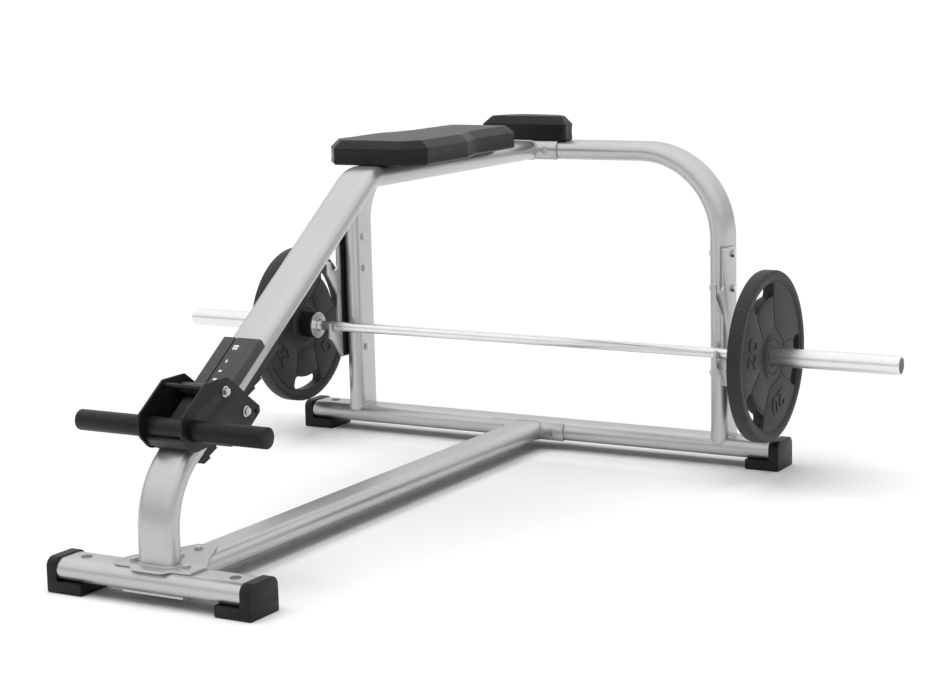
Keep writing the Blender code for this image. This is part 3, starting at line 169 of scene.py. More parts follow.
# Slope parts
COVER_TOP = -0.597
COVER_LENGTH = 0.328
COVER_HALF = 0.0535
COVER_SKIRT = 0.011
COVER_SURFACE = HALF_TUBE + 0.011
COVER_SHOULDER = 0.005
GROOVE_LEFT = -0.018
GROOVE_RIGHT = -0.013
GROOVE_DEPTH = 0.0025
STEP_MARKS = ((-0.628, 0.013, 0.014), (-0.672, 0.004, 0.009), (-0.703, 0.008, 0.006), (-0.729, 0.010, 0.006))
GLYPH = ((-0.0032, -0.0042), (-0.0010, -0.0042), (0.0032, 0.0042), (0.0010, 0.0042))
GLYPH_STATION = -0.628
MARK_THICKNESS = 0.0004
RACK_SEAT = -(HALF_TUBE + GAP)
RACK_TOP = -0.515
RACK_END = -0.885
RACK_WIDTH = 0.025
RACK_DEPTH = 0.0447
RACK_HEEL = 0.020
FIRST_TOOTH = -0.8607
TOOTH_PITCH = 0.031
TOOTH_DEPTH = 0.007
PLATE_IN = 0.0545
PLATE_OUT = 0.0605
SIDE_OUTLINE = (
    (-0.812, 0.112), (-0.918, 0.112), (-0.950, 0.083), (-0.938, 0.024), (-0.756, -0.080),
    (-0.710, -0.080), (-0.702, -0.067), (-0.719, -0.020), (-0.729, 0.015), (-0.748, 0.068),
)
SIDE_RADII = [0.006, 0.006, 0.035, 0.035] + [0.006] * 6
AXLE_HOLE = 0.0056
PAWL_PIVOT = (-0.719, -0.068)
PAWL_HOLE = 0.0045
ROLLER = 0.0137
UPPER_STATION = -0.775
UPPER_HEIGHT = COVER_SURFACE + GAP + ROLLER
LOWER_STATION = -0.748
LOWER_HEIGHT = -(HALF_TUBE + GAP + ROLLER)
FOOT_STATION = -0.905
FOOT_HEIGHT = 0.061
FOOT_RADIUS = 0.019
GRIP_RADIUS = 0.0235
FOOT_SPAN = 0.502
GRIP_END = 0.006
LOWER_ROLLER = (0.0165, 0.0500)
UPPER_ROLLER = (-0.0535, 0.0535)
AXLE_HEAD = 0.008
ROD_RADIUS = 0.006
ROD_STATION = -0.816
ROD_HEIGHT = 0.099
GLIDE_FRONT = -0.938
GLIDE_RISE = 0.020

# Barbell
BAR_HEIGHT = 0.317
BAR_RADIUS = 0.014
SLEEVE_RADIUS = 0.025
SLEEVE_BORE = 0.018
SLEEVE_START = 0.658
SLEEVE_END = 1.100
FLANGE = 0.0375
FLANGE_THICKNESS = 0.0065
SHAFT_SHORT = 0.030
SLEEVE_FLOOR = 0.015
COLLAR_RADIUS = 0.037
DISC_FACES = {"left": 0.704, "right": 0.7175}
DISC_TURNS = {"left": math.radians(32), "right": math.radians(-12)}
DISC_THICKNESS = 0.038
DISC_WEB = 0.028
DISC_RIM = 0.200
DISC_HUB = 0.058
WINDOW_IN = 0.155
WINDOW_OUT = 0.193
WINDOW_HALF = math.radians(22)
WINDOW_CUT = 0.008
HUB_CORNER = 0.084
PANEL_SEAM = 0.002
PANEL_RISE = 0.003
DIGIT_SIZE = 0.070
DIGIT_WIDTH = 1.18
DIGIT_RADIUS = 0.132
DIGIT_RISE = 0.0022

# Light: (height of the direction, brightness) for what lights the surfaces and for what they mirror
DIFFUSE_SKY = ((0.0, 0.0), (0.5, 0.12), (1.0, 0.80))
MIRRORED_SKY = ((0.0, 0.50), (0.17, 0.66), (0.45, 1.08), (1.0, 1.25))
SUN_ENERGY = 2.65
SUN_ANGLE = math.radians(60)
SUN_TURN = (math.radians(4), math.radians(-6), 0)
FLOOR_SIZE = 200
FLOOR_COLOUR = (0.88, 0.88, 0.88, 1)

# Camera, fitted to the photograph
CAMERA_PLACE = (2.8441, -4.4673, 1.3134)
CAMERA_AZIMUTH = math.radians(29.925)
CAMERA_ELEVATION = math.radians(9.587)
CAMERA_ROLL = math.radians(-1.383)
CAMERA_SENSOR = 36
CAMERA_LENS = 82.674

ALONG_X = Matrix(((0, 0, 1, 0), (1, 0, 0, 0), (0, 1, 0, 0), (0, 0, 0, 1)))
ALONG_Y = Matrix(((1, 0, 0, 0), (0, 0, -1, 0), (0, 1, 0, 0), (0, 0, 0, 1)))
UPRIGHT = Matrix.Identity(4)
HALF_TURN = Matrix.Rotation(math.pi, 4, "X")
SLOPE_AXES = Matrix.Translation((0, CORNER_Y, BEAM_Z)) @ Matrix.Rotation(SLOPE, 4, "X")
SIDES = ((-1, "left"), (1, "right"))


# Finishes

def shifted(colour, share):
    """A colour made lighter or darker."""
    return (*[min(1, max(0, channel * (1 + share))) for channel in colour], 1)


def texture(tree, kind, scale, detail):
    """A noise or cell pattern in the piece's own coordinates."""
    coords = tree.nodes.new("ShaderNodeTexCoord")
    if kind == "cells":
        made = tree.nodes.new("ShaderNodeTexVoronoi")
        made.feature = "SMOOTH_F1"
        output = "Distance"
    else:
        made = tree.nodes.new("ShaderNodeTexNoise")
        made.inputs["Detail"].default_value = detail
        output = "Fac"
    made.inputs["Scale"].default_value = scale
    tree.links.new(coords.outputs["Object"], made.inputs["Vector"])
    return made.outputs[output]


def blended(tree, factor, low, high):
    """Two colours mixed by a pattern."""
    ramp = tree.nodes.new("ShaderNodeValToRGB")
    ramp.color_ramp.elements[0].position = 0.3
    ramp.color_ramp.elements[1].position = 0.7
    ramp.color_ramp.elements[0].color = low
    ramp.color_ramp.elements[1].color = high
    tree.links.new(factor, ramp.inputs["Fac"])
    return ramp.outputs["Color"]


def finish(slot, colour, roughness, metallic, tint, tint_scale, spread, grains, **sockets):
    """A surface whose colour, roughness and height all vary a little."""
    made = bpy.data.materials.new(slot + "_finish")
    made.use_nodes = True
    tree = made.node_tree
    shader = tree.nodes["Principled BSDF"]
    shader.inputs["Metallic"].default_value = metallic
    for socket, value in sockets.items():
        shader.inputs[socket.replace("_", " ")].default_value = value
    cloud = texture(tree, "noise", tint_scale, 6)
    tinted = blended(tree, cloud, shifted(colour, -tint), shifted(colour, tint))
    tree.links.new(tinted, shader.inputs["Base Color"])
    rough = tree.nodes.new("ShaderNodeMapRange")
    rough.inputs["To Min"].default_value = roughness - spread
    rough.inputs["To Max"].default_value = roughness + spread
    tree.links.new(texture(tree, "noise", tint_scale * 5, 4), rough.inputs["Value"])
    tree.links.new(rough.outputs["Result"], shader.inputs["Roughness"])
    before = None
    for kind, scale, strength, depth in grains:
        bump = tree.nodes.new("ShaderNodeBump")
        bump.inputs["Strength"].default_value = strength
        bump.inputs["Distance"].default_value = depth
        tree.links.new(texture(tree, kind, scale, 3), bump.inputs["Height"])
        if before:
            tree.links.new(before, bump.inputs["Normal"])
        before = bump.outputs["Normal"]
    if before:
        tree.links.new(before, shader.inputs["Normal"])
    made["slot"] = slot
    return made


SILVER = finish("silver_paint", (0.53, 0.535, 0.54), 0.31, 0.80, 0.03, 6, 0.03,
                [("noise", 700, 0.10, 0.0003), ("cells", 2400, 0.06, 0.0001)])
ZINC = finish("zinc", (0.56, 0.56, 0.55), 0.24, 1.0, 0.10, 120, 0.08, [("noise", 1500, 0.10, 0.0002)])
CHROME = finish("chrome", (0.80, 0.80, 0.80), 0.26, 1.0, 0.02, 20, 0.02, [("noise", 500, 0.02, 0.0001)])
BLACK = finish("black_paint", (0.007, 0.007, 0.0075), 0.38, 0.0, 0.25, 60, 0.06,
               [("noise", 1100, 0.30, 0.0004), ("cells", 1900, 0.15, 0.0002)], Specular_IOR_Level=0.30)
RUBBER = finish("rubber", (0.007, 0.007, 0.0075), 0.44, 0.0, 0.25, 40, 0.08,
                [("noise", 900, 0.25, 0.0003)], Specular_IOR_Level=0.25)
DISC = finish("plate_iron", (0.018, 0.018, 0.019), 0.55, 0.0, 0.35, 180, 0.10,
              [("noise", 420, 0.35, 0.0006), ("cells", 1300, 0.20, 0.0003)], Specular_IOR_Level=0.40)
VINYL = finish("vinyl", (0.006, 0.006, 0.0065), 0.36, 0.0, 0.15, 30, 0.06,
               [("cells", 620, 0.55, 0.0006), ("noise", 60, 0.12, 0.0015)], Specular_IOR_Level=0.26)
PLASTIC = finish("plastic", (0.040, 0.040, 0.041), 0.46, 0.0, 0.15, 50, 0.06,
                 [("noise", 1600, 0.2, 0.0002)], Specular_IOR_Level=0.40)
MARK = finish("plastic", (0.80, 0.80, 0.79), 0.55, 0.0, 0.04, 60, 0.05, [("noise", 1600, 0.1, 0.0001)])
DULL = finish("plastic", (0.11, 0.11, 0.112), 0.50, 0.0, 0.12, 60, 0.06, [("noise", 1200, 0.2, 0.0003)])


# Outlines

def arc(centre, radius, start, end, step=STEP):
    """Points on a round stretch from one angle to another."""
    count = max(1, round(abs(end - start) / step))
    angles = [start + (end - start) * index / count for index in range(count + 1)]
    return [Vector((centre[0] + radius * math.cos(a), centre[1] + radius * math.sin(a))) for a in angles]


def rounded(corners, radii, step=math.radians(10)):
    """A run of straight lines with each corner rounded to its own radius."""
    points = []
    for index, radius in enumerate(radii):
        corner = Vector(corners[index])
        if radius == 0:
            points.append(corner)
            continue
        before = (Vector(corners[index - 1]) - corner).normalized()
        after = (Vector(corners[(index + 1) % len(corners)]) - corner).normalized()
        turn = math.pi - before.angle(after)
        side = 1 if after.x * before.y - after.y * before.x > 0 else -1
        start = corner + before * radius * math.tan(turn / 2)
        centre = corner + (before + after).normalized() * radius / math.cos(turn / 2)
        count = max(1, math.ceil(turn / step - 0.01))
        for place in range(count + 1):
            points.append(centre + Matrix.Rotation(side * turn * place / count, 2) @ (start - centre))
    return points


def stadium(width, height, steps=16):
    """A flat oval outline about its centre."""
    half = (width - height) / 2
    step = math.pi / steps
    right = arc((half, 0), height / 2, -math.pi / 2, math.pi / 2, step)
    return right + arc((-half, 0), height / 2, math.pi / 2, 3 * math.pi / 2, step)


def hole(centre, radius, steps=40):
    """A round hole's outline, clockwise."""
    return arc(centre, radius, 2 * math.pi, 2 * math.pi / steps, 2 * math.pi / steps)


def mirrored(half):
    """A closed outline from its right half, listed front to rear."""
    return [Vector(point) for point in half] + [Vector((-point[0], point[1])) for point in reversed(half)]


def offset(outline, distance):
    """A counter-clockwise outline moved outward, or inward where the distance is negative."""
    moved = []
    for index, point in enumerate(outline):
        before = (point - outline[index - 1]).normalized()
        after = (outline[(index + 1) % len(outline)] - point).normalized()
        out_before = Vector((before.y, -before.x))
        out_after = Vector((after.y, -after.x))
        moved.append(point + (out_before + out_after) * distance / (1 + out_before.dot(out_after)))
    return moved


# Meshes

def welded(mesh):
    """The mesh with doubled points joined and its faces pointing out."""
    shape = bmesh.new()
    shape.from_mesh(mesh)
    bmesh.ops.remove_doubles(shape, verts=shape.verts, dist=JOIN_DISTANCE)
    bmesh.ops.recalc_face_normals(shape, faces=shape.faces)
    if shape.calc_volume(signed=True) < 0:
        bmesh.ops.reverse_faces(shape, faces=shape.faces)
    shape.to_mesh(mesh)
    shape.free()
    return mesh


def settled(source):
    """A helper object's evaluated shape as one mesh, and the helper removed."""
    bpy.context.scene.collection.objects.link(source)
    bpy.context.view_layer.update()
    mesh = bpy.data.meshes.new_from_object(source.evaluated_get(bpy.context.evaluated_depsgraph_get()))
    bpy.data.objects.remove(source, do_unlink=True)
    return welded(mesh)


def plate(outline, thickness, holes=(), edge=0.0008):
    """A flat outline given its thickness about its plane, with rounded edges."""
    curve = bpy.data.curves.new("plate", "CURVE")
    curve.dimensions = "2D"
    curve.fill_mode = "BOTH"
    curve.extrude = thickness / 2 - edge
    curve.bevel_depth = edge
    curve.bevel_resolution = 2
    curve.offset = -edge
    for loop in (outline, *holes):
        spline = curve.splines.new("POLY")
        spline.points.add(len(loop) - 1)
        for target, point in zip(spline.points, loop):
            target.co = (point[0], point[1], 0, 1)
        spline.use_cyclic_u = True
    return settled(bpy.data.objects.new("plate", curve))


def turned(profile, steps=ROUND, ring=False):
    """A profile of (radius, height) points turned about the local Z axis."""
    shape = bmesh.new()
    loops = []
    for radius, height in profile:
        if radius == 0:
            loops.append([shape.verts.new((0, 0, height))])
            continue
        angles = [2 * math.pi * index / steps for index in range(steps)]
        loops.append([shape.verts.new((radius * math.cos(a), radius * math.sin(a), height)) for a in angles])
    pairs = list(zip(loops, loops[1:])) + ([(loops[-1], loops[0])] if ring else [])
    for lower, upper in pairs:
        for index in range(steps):
            after = (index + 1) % steps
            if len(lower) == 1:
                shape.faces.new((lower[0], upper[after], upper[index]))
            elif len(upper) == 1:
                shape.faces.new((lower[index], lower[after], upper[0]))
            else:
                shape.faces.new((lower[index], lower[after], upper[after], upper[index]))
    mesh = bpy.data.meshes.new("turned")
    shape.to_mesh(mesh)
    shape.free()
    return welded(mesh)


def lofted(rings):
    """A solid skinned over rings of (outline, height) with both ends closed."""
    shape = bmesh.new()
    loops = [[shape.verts.new((p.x, p.y, height)) for p in outline] for outline, height in rings]
    for lower, upper in zip(loops, loops[1:]):
        for index in range(len(lower)):
            after = (index + 1) % len(lower)
            shape.faces.new((lower[index], lower[after], upper[after], upper[index]))
    shape.faces.new(loops[0][::-1])
    shape.faces.new(loops[-1])
    mesh = bpy.data.meshes.new("lofted")
    shape.to_mesh(mesh)
    shape.free()
    return mesh


def square_end(across, out):
    """A tube end cut square."""
    return 0


def swept(path, start=square_end, end=square_end):
    """A hollow flat-oval tube along a flat path, its long side along local Z, its ends cut to their seats."""
    shape = bmesh.new()
    skins = []
    for inset in (0, TUBE_WALL):
        rings = []
        for index, point in enumerate(path):
            before = (path[max(index, 1)] - path[max(index, 1) - 1]).normalized()
            last = min(index, len(path) - 2)
            after = (path[last + 1] - path[last]).normalized()
            along = (before + after).normalized()
            side = Vector((-along.y, along.x)) / along.dot(before)
            ring = []
            for across, out in stadium(TUBE_WIDTH - 2 * inset, TUBE_HEIGHT - 2 * inset):
                spot = point + side * out
                if index == 0:
                    spot -= along * start(across, out)
                if index == len(path) - 1:
                    spot += along * end(across, out)
                ring.append(shape.verts.new((spot.x, spot.y, across)))
            rings.append(ring)
        skins.append(rings)
    pairs = [pair for rings in skins for pair in zip(rings, rings[1:])]
    pairs += [(skins[0][0], skins[1][0]), (skins[0][-1], skins[1][-1])]
    for lower, upper in pairs:
        for index in range(len(lower)):
            after = (index + 1) % len(lower)
            shape.faces.new((lower[index], lower[after], upper[after], upper[index]))
    mesh = bpy.data.meshes.new("swept")
    shape.to_mesh(mesh)
    shape.free()
    return welded(mesh)


def joined(*meshes):
    """Several closed meshes as one."""
    shape = bmesh.new()
    for mesh in meshes:
        shape.from_mesh(mesh)
    made = bpy.data.meshes.new("joined")
    shape.to_mesh(made)
    shape.free()
    return made


def moved(mesh, place):
    """The mesh with a placement applied."""
    mesh.transform(place)
    return mesh


def combined(mesh, tool, operation="DIFFERENCE"):
    """One mesh with another taken away from it or added to it."""
    target = bpy.data.objects.new("target", mesh)
    other = bpy.data.objects.new("other", tool)
    bpy.context.scene.collection.objects.link(other)
    step = target.modifiers.new("step", "BOOLEAN")
    step.operation = operation
    step.solver = "EXACT"
    step.object = other
    made = settled(target)
    bpy.data.objects.remove(other, do_unlink=True)
    return made


def bead(points, radius):
    """A closed round bead through some points, for a weld."""
    curve = bpy.data.curves.new("bead", "CURVE")
    curve.dimensions = "3D"
    curve.bevel_depth = radius
    curve.bevel_resolution = 3
    spline = curve.splines.new("POLY")
    spline.points.add(len(points) - 1)
    for target, point in zip(spline.points, points):
        target.co = (*point, 1)
    spline.use_cyclic_u = True
    return settled(bpy.data.objects.new("bead", curve))


def piece(name, mesh, look, body="bench_frame", place=UPRIGHT, sharp=34):
    """A piece with its finish, riding on a body."""
    made = bpy.data.objects.new(name, mesh)
    bpy.context.scene.collection.objects.link(made)
    mesh.materials.clear()
    mesh.materials.append(look)
    mesh.shade_smooth()
    mesh.set_sharp_from_angle(angle=math.radians(sharp))
    made.matrix_world = place
    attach(made, body)
    return made


def stand_in(node, mesh, look, body="bench_frame", place=UPRIGHT, sharp=34):
    """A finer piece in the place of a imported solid."""
    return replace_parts(piece(node + "_form", mesh, look, body, place, sharp), node)


def pointing(start, end):
    """The placement that runs the local Z axis from one point to another."""
    run = Vector(end) - Vector(start)
    return Matrix.Translation(start) @ run.to_track_quat("Z", "Y").to_matrix().to_4x4()


# Fasteners

def hexagon(low, high, radius=HEX, top_chamfer=0.0012):
    """A hexagon head or nut, chamfered on the side away from its seat."""
    turns = [math.pi / 3 * index for index in range(6)]
    full = [Vector((radius * math.cos(a), radius * math.sin(a))) for a in turns]
    small = [point * 0.88 for point in full]
    if high < low:
        rings = [(small, high), (full, high + top_chamfer), (full, low)]
    else:
        rings = [(full, low), (full, high - top_chamfer), (small, high)]
    return lofted(rings)


def thread(low, high, radius=BOLT, pitch=0.0012):
    """The threaded end of a bolt, with a small chamfer."""
    profile = [(0, low), (radius, low)]
    for index in range(int((high - low) / pitch)):
        profile += [(radius, low + index * pitch + pitch / 4), (radius * 0.88, low + (index + 0.75) * pitch)]
    return profile + [(radius * 0.85, high), (0, high)]


def washer(low, high, radius=WASHER):
    """A flat ring round a bolt."""
    return turned([(BOLT + GAP, low), (radius, low), (radius, high), (BOLT + GAP, high)], 40, ring=True)


def bolt(node, head_seat, nut_seat, nut=NUT):
    """A hexagon bolt with washers, its nut and the end of its thread."""
    length = (Vector(nut_seat) - Vector(head_seat)).length
    parts = [
        washer(-WASHER_THICKNESS - GAP, -GAP),
        hexagon(-WASHER_THICKNESS - GAP, -HEAD - GAP),
        turned([(0, -HEAD / 2), (BOLT, -HEAD / 2), (BOLT, length), (0, length)], 24),
        washer(length + GAP, length + GAP + WASHER_THICKNESS),
        hexagon(length + GAP + WASHER_THICKNESS, length + nut),
        turned(thread(length, length + nut + 0.002), 24),
    ]
    stand_in(node, joined(*parts), ZINC, place=pointing(head_seat, nut_seat))


# Base

def bar_flank(across, out):
    """How far a rail's end reaches past the centre line of the flat part of what it meets."""
    return -math.sqrt((HALF_TUBE + GAP) ** 2 - out ** 2)


def saddle_flank(across, out):
    """The same for an end that meets a saddle plate."""
    return -math.sqrt((SADDLE_OUTER + GAP) ** 2 - out ** 2)


def foot_depth(across, out):
    """How far an upright's foot reaches down round the rear member's edges."""
    past = max(0, abs(across) - TUBE_FLAT)
    return min(FOOT_LAP, HALF_TUBE - math.sqrt(HALF_TUBE ** 2 - min(past, HALF_TUBE) ** 2))


def base_bar(node, centre_y, span):
    """A base tube across the bench."""
    half = span / 2 - CAP_WALL - GAP
    place = Matrix.Translation((0, centre_y, BASE_Z)) @ ALONG_Y
    stand_in(node, swept([Vector((-half, 0)), Vector((half, 0))]), SILVER, place=place)


def plugs(name, centre_y, offset_x):
    """The low round plugs in a base tube's upper holes."""
    profile = [(0, 0.0004), (0.0095, 0.0004), (0.0105, 0.0010), (0.0125, 0.0010), (PLUG_RADIUS, 0.0004),
               (PLUG_RADIUS, -0.001), (0, -0.001)]
    for side, word in SIDES:
        place = Matrix.Translation((side * offset_x, centre_y, BASE_TOP))
        piece(f"{name}_{word}", turned(profile), DULL, place=place)


def foot_cap(node, side, centre_y, span):
    """A rubber foot round a tube's end, with a longer block under the tube."""
    half = CAP_WIDTH / 2
    full = [(-half, 0), (half, 0), (half, CAP_HEIGHT), (-half, CAP_HEIGHT)]
    radii = [CAP_LOW_CORNER, CAP_LOW_CORNER, CAP_HIGH_CORNER, CAP_HIGH_CORNER]
    collar = plate(rounded(full, radii), CAP_COLLAR, edge=0.0022)
    rise = CLEARANCE + 0.001
    block_corners = [(-half, 0), (half, 0), (half, rise), (-half, rise)]
    radii = [CAP_LOW_CORNER, CAP_LOW_CORNER, 0.002, 0.002]
    block = plate(rounded(block_corners, radii), CAP_FOOT, edge=0.0018)
    for step in range(-3, 4):
        reach = half * 2
        groove = plate([(-reach, -0.01), (reach, -0.01), (reach, 0.0015), (-reach, 0.0015)], 0.003, edge=0)
        block = combined(block, moved(groove, Matrix.Translation((0, 0, step * CAP_RIB_PITCH))))
    whole = combined(moved(collar, Matrix.Translation((0, 0, (CAP_FOOT - CAP_COLLAR) / 2))), block, "UNION")
    room = plate(stadium(TUBE_WIDTH + 2 * GAP, TUBE_HEIGHT + 2 * GAP), CAP_FOOT * 2, edge=0)
    shift = Matrix.Translation((0, BASE_Z, -CAP_FOOT / 2 - CAP_WALL))
    whole = combined(whole, moved(room, shift))
    turn = UPRIGHT if side > 0 else Matrix.Scale(-1, 4, (0, 0, 1))
    whole = welded(moved(whole, turn))
    place = Matrix.Translation((side * (span - CAP_FOOT) / 2, centre_y, 0)) @ ALONG_X
    stand_in(node, whole, RUBBER, place=place)


def saddle(node, centre_z, half_span, bolt_node, bolt_x):
    """A plate curved round the front of a crossing tube, its weld to the joining tube, and its bolts."""
    start, end = math.pi - SADDLE_WRAP, math.pi + SADDLE_WRAP
    outline = arc((0, 0), SADDLE_OUTER, start, end) + arc((0, 0), AROUND_TUBE, end, start)
    place = Matrix.Translation((0, REAR_Y - TUBE_FLAT, centre_z)) @ ALONG_X
    stand_in(node, plate(outline, 2 * half_span), SILVER, place=place)
    limit = HALF_TUBE + GAP
    ring = []
    for across, out in stadium(TUBE_WIDTH + 0.001, TUBE_HEIGHT + 0.001):
        flank = saddle_flank(across, min(limit, max(-limit, out)))
        ring.append((across, REAR_Y - TUBE_FLAT + flank, centre_z + out))
    piece(node + "_weld", bead(ring, BEAD), SILVER)
    for side, word in SIDES:
        x = side * bolt_x
        head_y = REAR_Y - TUBE_WIDTH / 2 - SADDLE - GAP
        bolt(f"{bolt_node}_{word}", (x, head_y, centre_z), (x, REAR_Y + TUBE_WIDTH / 2, centre_z))


def base():
    """Tubes, feet, plates and bolts at floor level."""
    base_bar("front_bar_tube", FRONT_Y, FRONT_SPAN)
    base_bar("rear_bar_tube", REAR_Y, REAR_SPAN)
    plugs("front_plug", FRONT_Y, FRONT_PLUG_X)
    plugs("rear_plug", REAR_Y, REAR_PLUG_X)
    for side, word in SIDES:
        foot_cap(f"foot_cap_front_{word}", side, FRONT_Y, FRONT_SPAN)
        foot_cap(f"foot_cap_rear_{word}", side, REAR_Y, REAR_SPAN)
    path = [Vector((FRONT_Y + TUBE_FLAT, 0)), Vector((REAR_Y - TUBE_FLAT, 0))]
    rail = swept(path, bar_flank, saddle_flank)
    stand_in("base_rail_tube", rail, SILVER, place=Matrix.Translation((0, 0, BASE_Z)) @ ALONG_X)
    saddle("base_saddle", BASE_Z, BASE_SADDLE_HALF, "base_saddle_bolt", BASE_SADDLE_BOLT_X)
    mesh = plate(rounded(mirrored(BASE_PLATE_HALF), BASE_PLATE_RADII + BASE_PLATE_RADII[::-1]), BASE_PLATE)
    top_place = Matrix.Translation((0, FRONT_Y, BASE_TOP + GAP + BASE_PLATE / 2))
    stand_in("base_plate", mesh, SILVER, place=top_place)
    clamp_place = Matrix.Translation((0, FRONT_Y, CLEARANCE - GAP - CLAMP / 2))
    clamp = plate(rounded(mirrored(CLAMP_HALF), [CLAMP_RADIUS] * 12), CLAMP)
    stand_in("clamp_plate", clamp, SILVER, place=clamp_place)
    head_z = BASE_TOP + GAP + BASE_PLATE
    for side, word in SIDES:
        x = side * BASE_BOLT_X
        bolt(f"base_bolt_{word}", (x, STUB_Y, head_z), (x, STUB_Y, CLEARANCE - GAP - CLAMP))
    for distance, word in RAIL_BOLTS:
        y = FRONT_Y + distance
        bolt(f"rail_bolt_{word}", (0, y, head_z), (0, y, CLEARANCE))


# Arch, spine and hooks

def arch():
    """The arch in one bent tube, with its foot welds."""
    corners = [(-ARCH_HALF, BASE_TOP), (-ARCH_HALF, BEAM_Z), (ARCH_HALF, BEAM_Z), (ARCH_HALF, BASE_TOP)]
    path = rounded(corners, [0, ARCH_BEND, ARCH_BEND, 0], STEP)
    place = Matrix.Translation((0, REAR_Y, 0)) @ ALONG_Y
    stand_in("arch_tube", swept(path, foot_depth, foot_depth), SILVER, place=place)
    for side, word in SIDES:
        ring = []
        for across, out in stadium(TUBE_WIDTH, TUBE_HEIGHT):
            height = BASE_TOP - foot_depth(across, out)
            ring.append((side * ARCH_HALF + out * 1.03, REAR_Y + across * 1.01, height))
        piece(f"arch_weld_{word}", bead(ring, BEAD), SILVER)


def spine():
    """The stub, the climb and the level run in one bent tube, and the weld at its foot."""
    corners = [(STUB_Y, STUB_BASE), (STUB_Y, STUB_CORNER), (CORNER_Y, BEAM_Z), (REAR_Y - TUBE_FLAT, BEAM_Z)]
    path = rounded(corners, [0, STUB_BEND, LEVEL_BEND, 0], STEP)
    stand_in("spine_tube", swept(path, end=saddle_flank), SILVER, place=ALONG_X)
    foot = stadium(TUBE_WIDTH, TUBE_HEIGHT)
    ring = [(across * 1.01, STUB_Y + out * 1.02, STUB_BASE) for across, out in foot]
    piece("spine_weld", bead(ring, SPINE_BEAD), SILVER)
    saddle("top_saddle", BEAM_Z, TOP_SADDLE_HALF, "top_saddle_bolt", TOP_SADDLE_BOLT_X)


def hook_outline():
    """The hook plate's side view: forward is negative x, up is y."""
    lip = HOOK_NECK + UPPER_SLOT
    upper_round = UPPER_SLOT / 2 - GAP
    seat = BAR_HEIGHT - BAR_RADIUS - GAP
    back, front = BAR_FORWARD - CRADLE_HALF, BAR_FORWARD + CRADLE_HALF
    shape = [
        (-HOOK_BACK, HOOK_TOP, 0.004), (HOOK_NECK, HOOK_TOP, 0.004), (HOOK_NECK, UPPER_SEAT, upper_round),
        (lip, UPPER_SEAT, upper_round), (lip, UPPER_SEAT + 0.029, 0.008),
        (HOOK_NOSE, UPPER_SEAT + 0.029, 0.008), (HOOK_NOSE, UPPER_SEAT - 0.011, 0.008),
        (0.0765, UPPER_SEAT - 0.070, 0.030), (back, BAR_HEIGHT + CRADLE_HALF, 0.0),
        (back, seat, CRADLE_HALF - GAP), (front, seat, CRADLE_HALF - GAP),
        (front, BAR_HEIGHT + 0.010, 0.0045), (HOOK_NOSE, BAR_HEIGHT + 0.010, 0.0045),
        (HOOK_NOSE, BAR_HEIGHT - 0.034, 0.004), (0.108, BAR_HEIGHT - 0.0445, 0.010),
        (0.066, HOOK_FOOT, 0.003), (-HOOK_BACK, HOOK_FOOT, 0.004),
    ]
    return rounded([(-row[0], row[1]) for row in shape], [row[2] for row in shape])


def hooks():
    """A hook plate, a black strip of painted shade in the groove beside the upright, and its three bolts on
    each upright.
    """
    outer, inner = ARCH_HALF + HALF_TUBE, ARCH_HALF - HALF_TUBE
    depth = HALF_TUBE - SHADE_STRIP
    back = -(TUBE_FLAT + math.sqrt(HALF_TUBE ** 2 - depth ** 2) + 2 * GAP)
    strip = [(-SHADE_STRIP_FRONT, SHADE_STRIP_LOW), (back, SHADE_STRIP_LOW), (back, SHADE_STRIP_HIGH), (-SHADE_STRIP_FRONT, SHADE_STRIP_HIGH)]
    for side, word in SIDES:
        place = Matrix.Translation((side * (outer + GAP + HOOK_PLATE / 2), REAR_Y, 0)) @ ALONG_X
        stand_in(f"hook_plate_{word}", plate(hook_outline(), HOOK_PLATE), SILVER, place=place)
        # The black rubber strip below is painted shade: it stands in for the dark groove between the hook
        # plate and the rounded upright
        place = Matrix.Translation((side * (outer - SHADE_STRIP / 2), REAR_Y, 0)) @ ALONG_X
        stand_in(f"hook_liner_{word}", plate(strip, SHADE_STRIP, edge=0.0004), RUBBER, place=place)
        y = REAR_Y - HOOK_BOLT_FORWARD
        for level, height in HOOK_BOLT_HEIGHTS:
            head = (side * (outer + GAP + HOOK_PLATE), y, height)
            bolt(f"hook_bolt_{word}_{level}", head, (side * inner, y, height))


# Pads

def pad_ring(corners, inset, pull=0.0, stops=9):
    """A pad's outline drawn in by an inset, corners rounded, and its sides pulled in between the corners."""
    edge = offset(corners, -inset)
    points = []
    runs = []
    for index in range(len(edge)):
        trio = [edge[index - 1], edge[index], edge[(index + 1) % len(edge)]]
        runs.append(rounded(trio, [0, PAD_CORNER * (1 - inset / PAD_INSET_LIMIT), 0], math.radians(12))[1:-1])
    for index, run in enumerate(runs):
        following = runs[(index + 1) % len(runs)][0]
        points += run
        along = following - run[-1]
        inward = Vector((-along.y, along.x)).normalized()
        for stop in range(1, stops):
            share = stop / stops
            points.append(run[-1] + along * share + inward * pull * math.sin(math.pi * share))
    return points


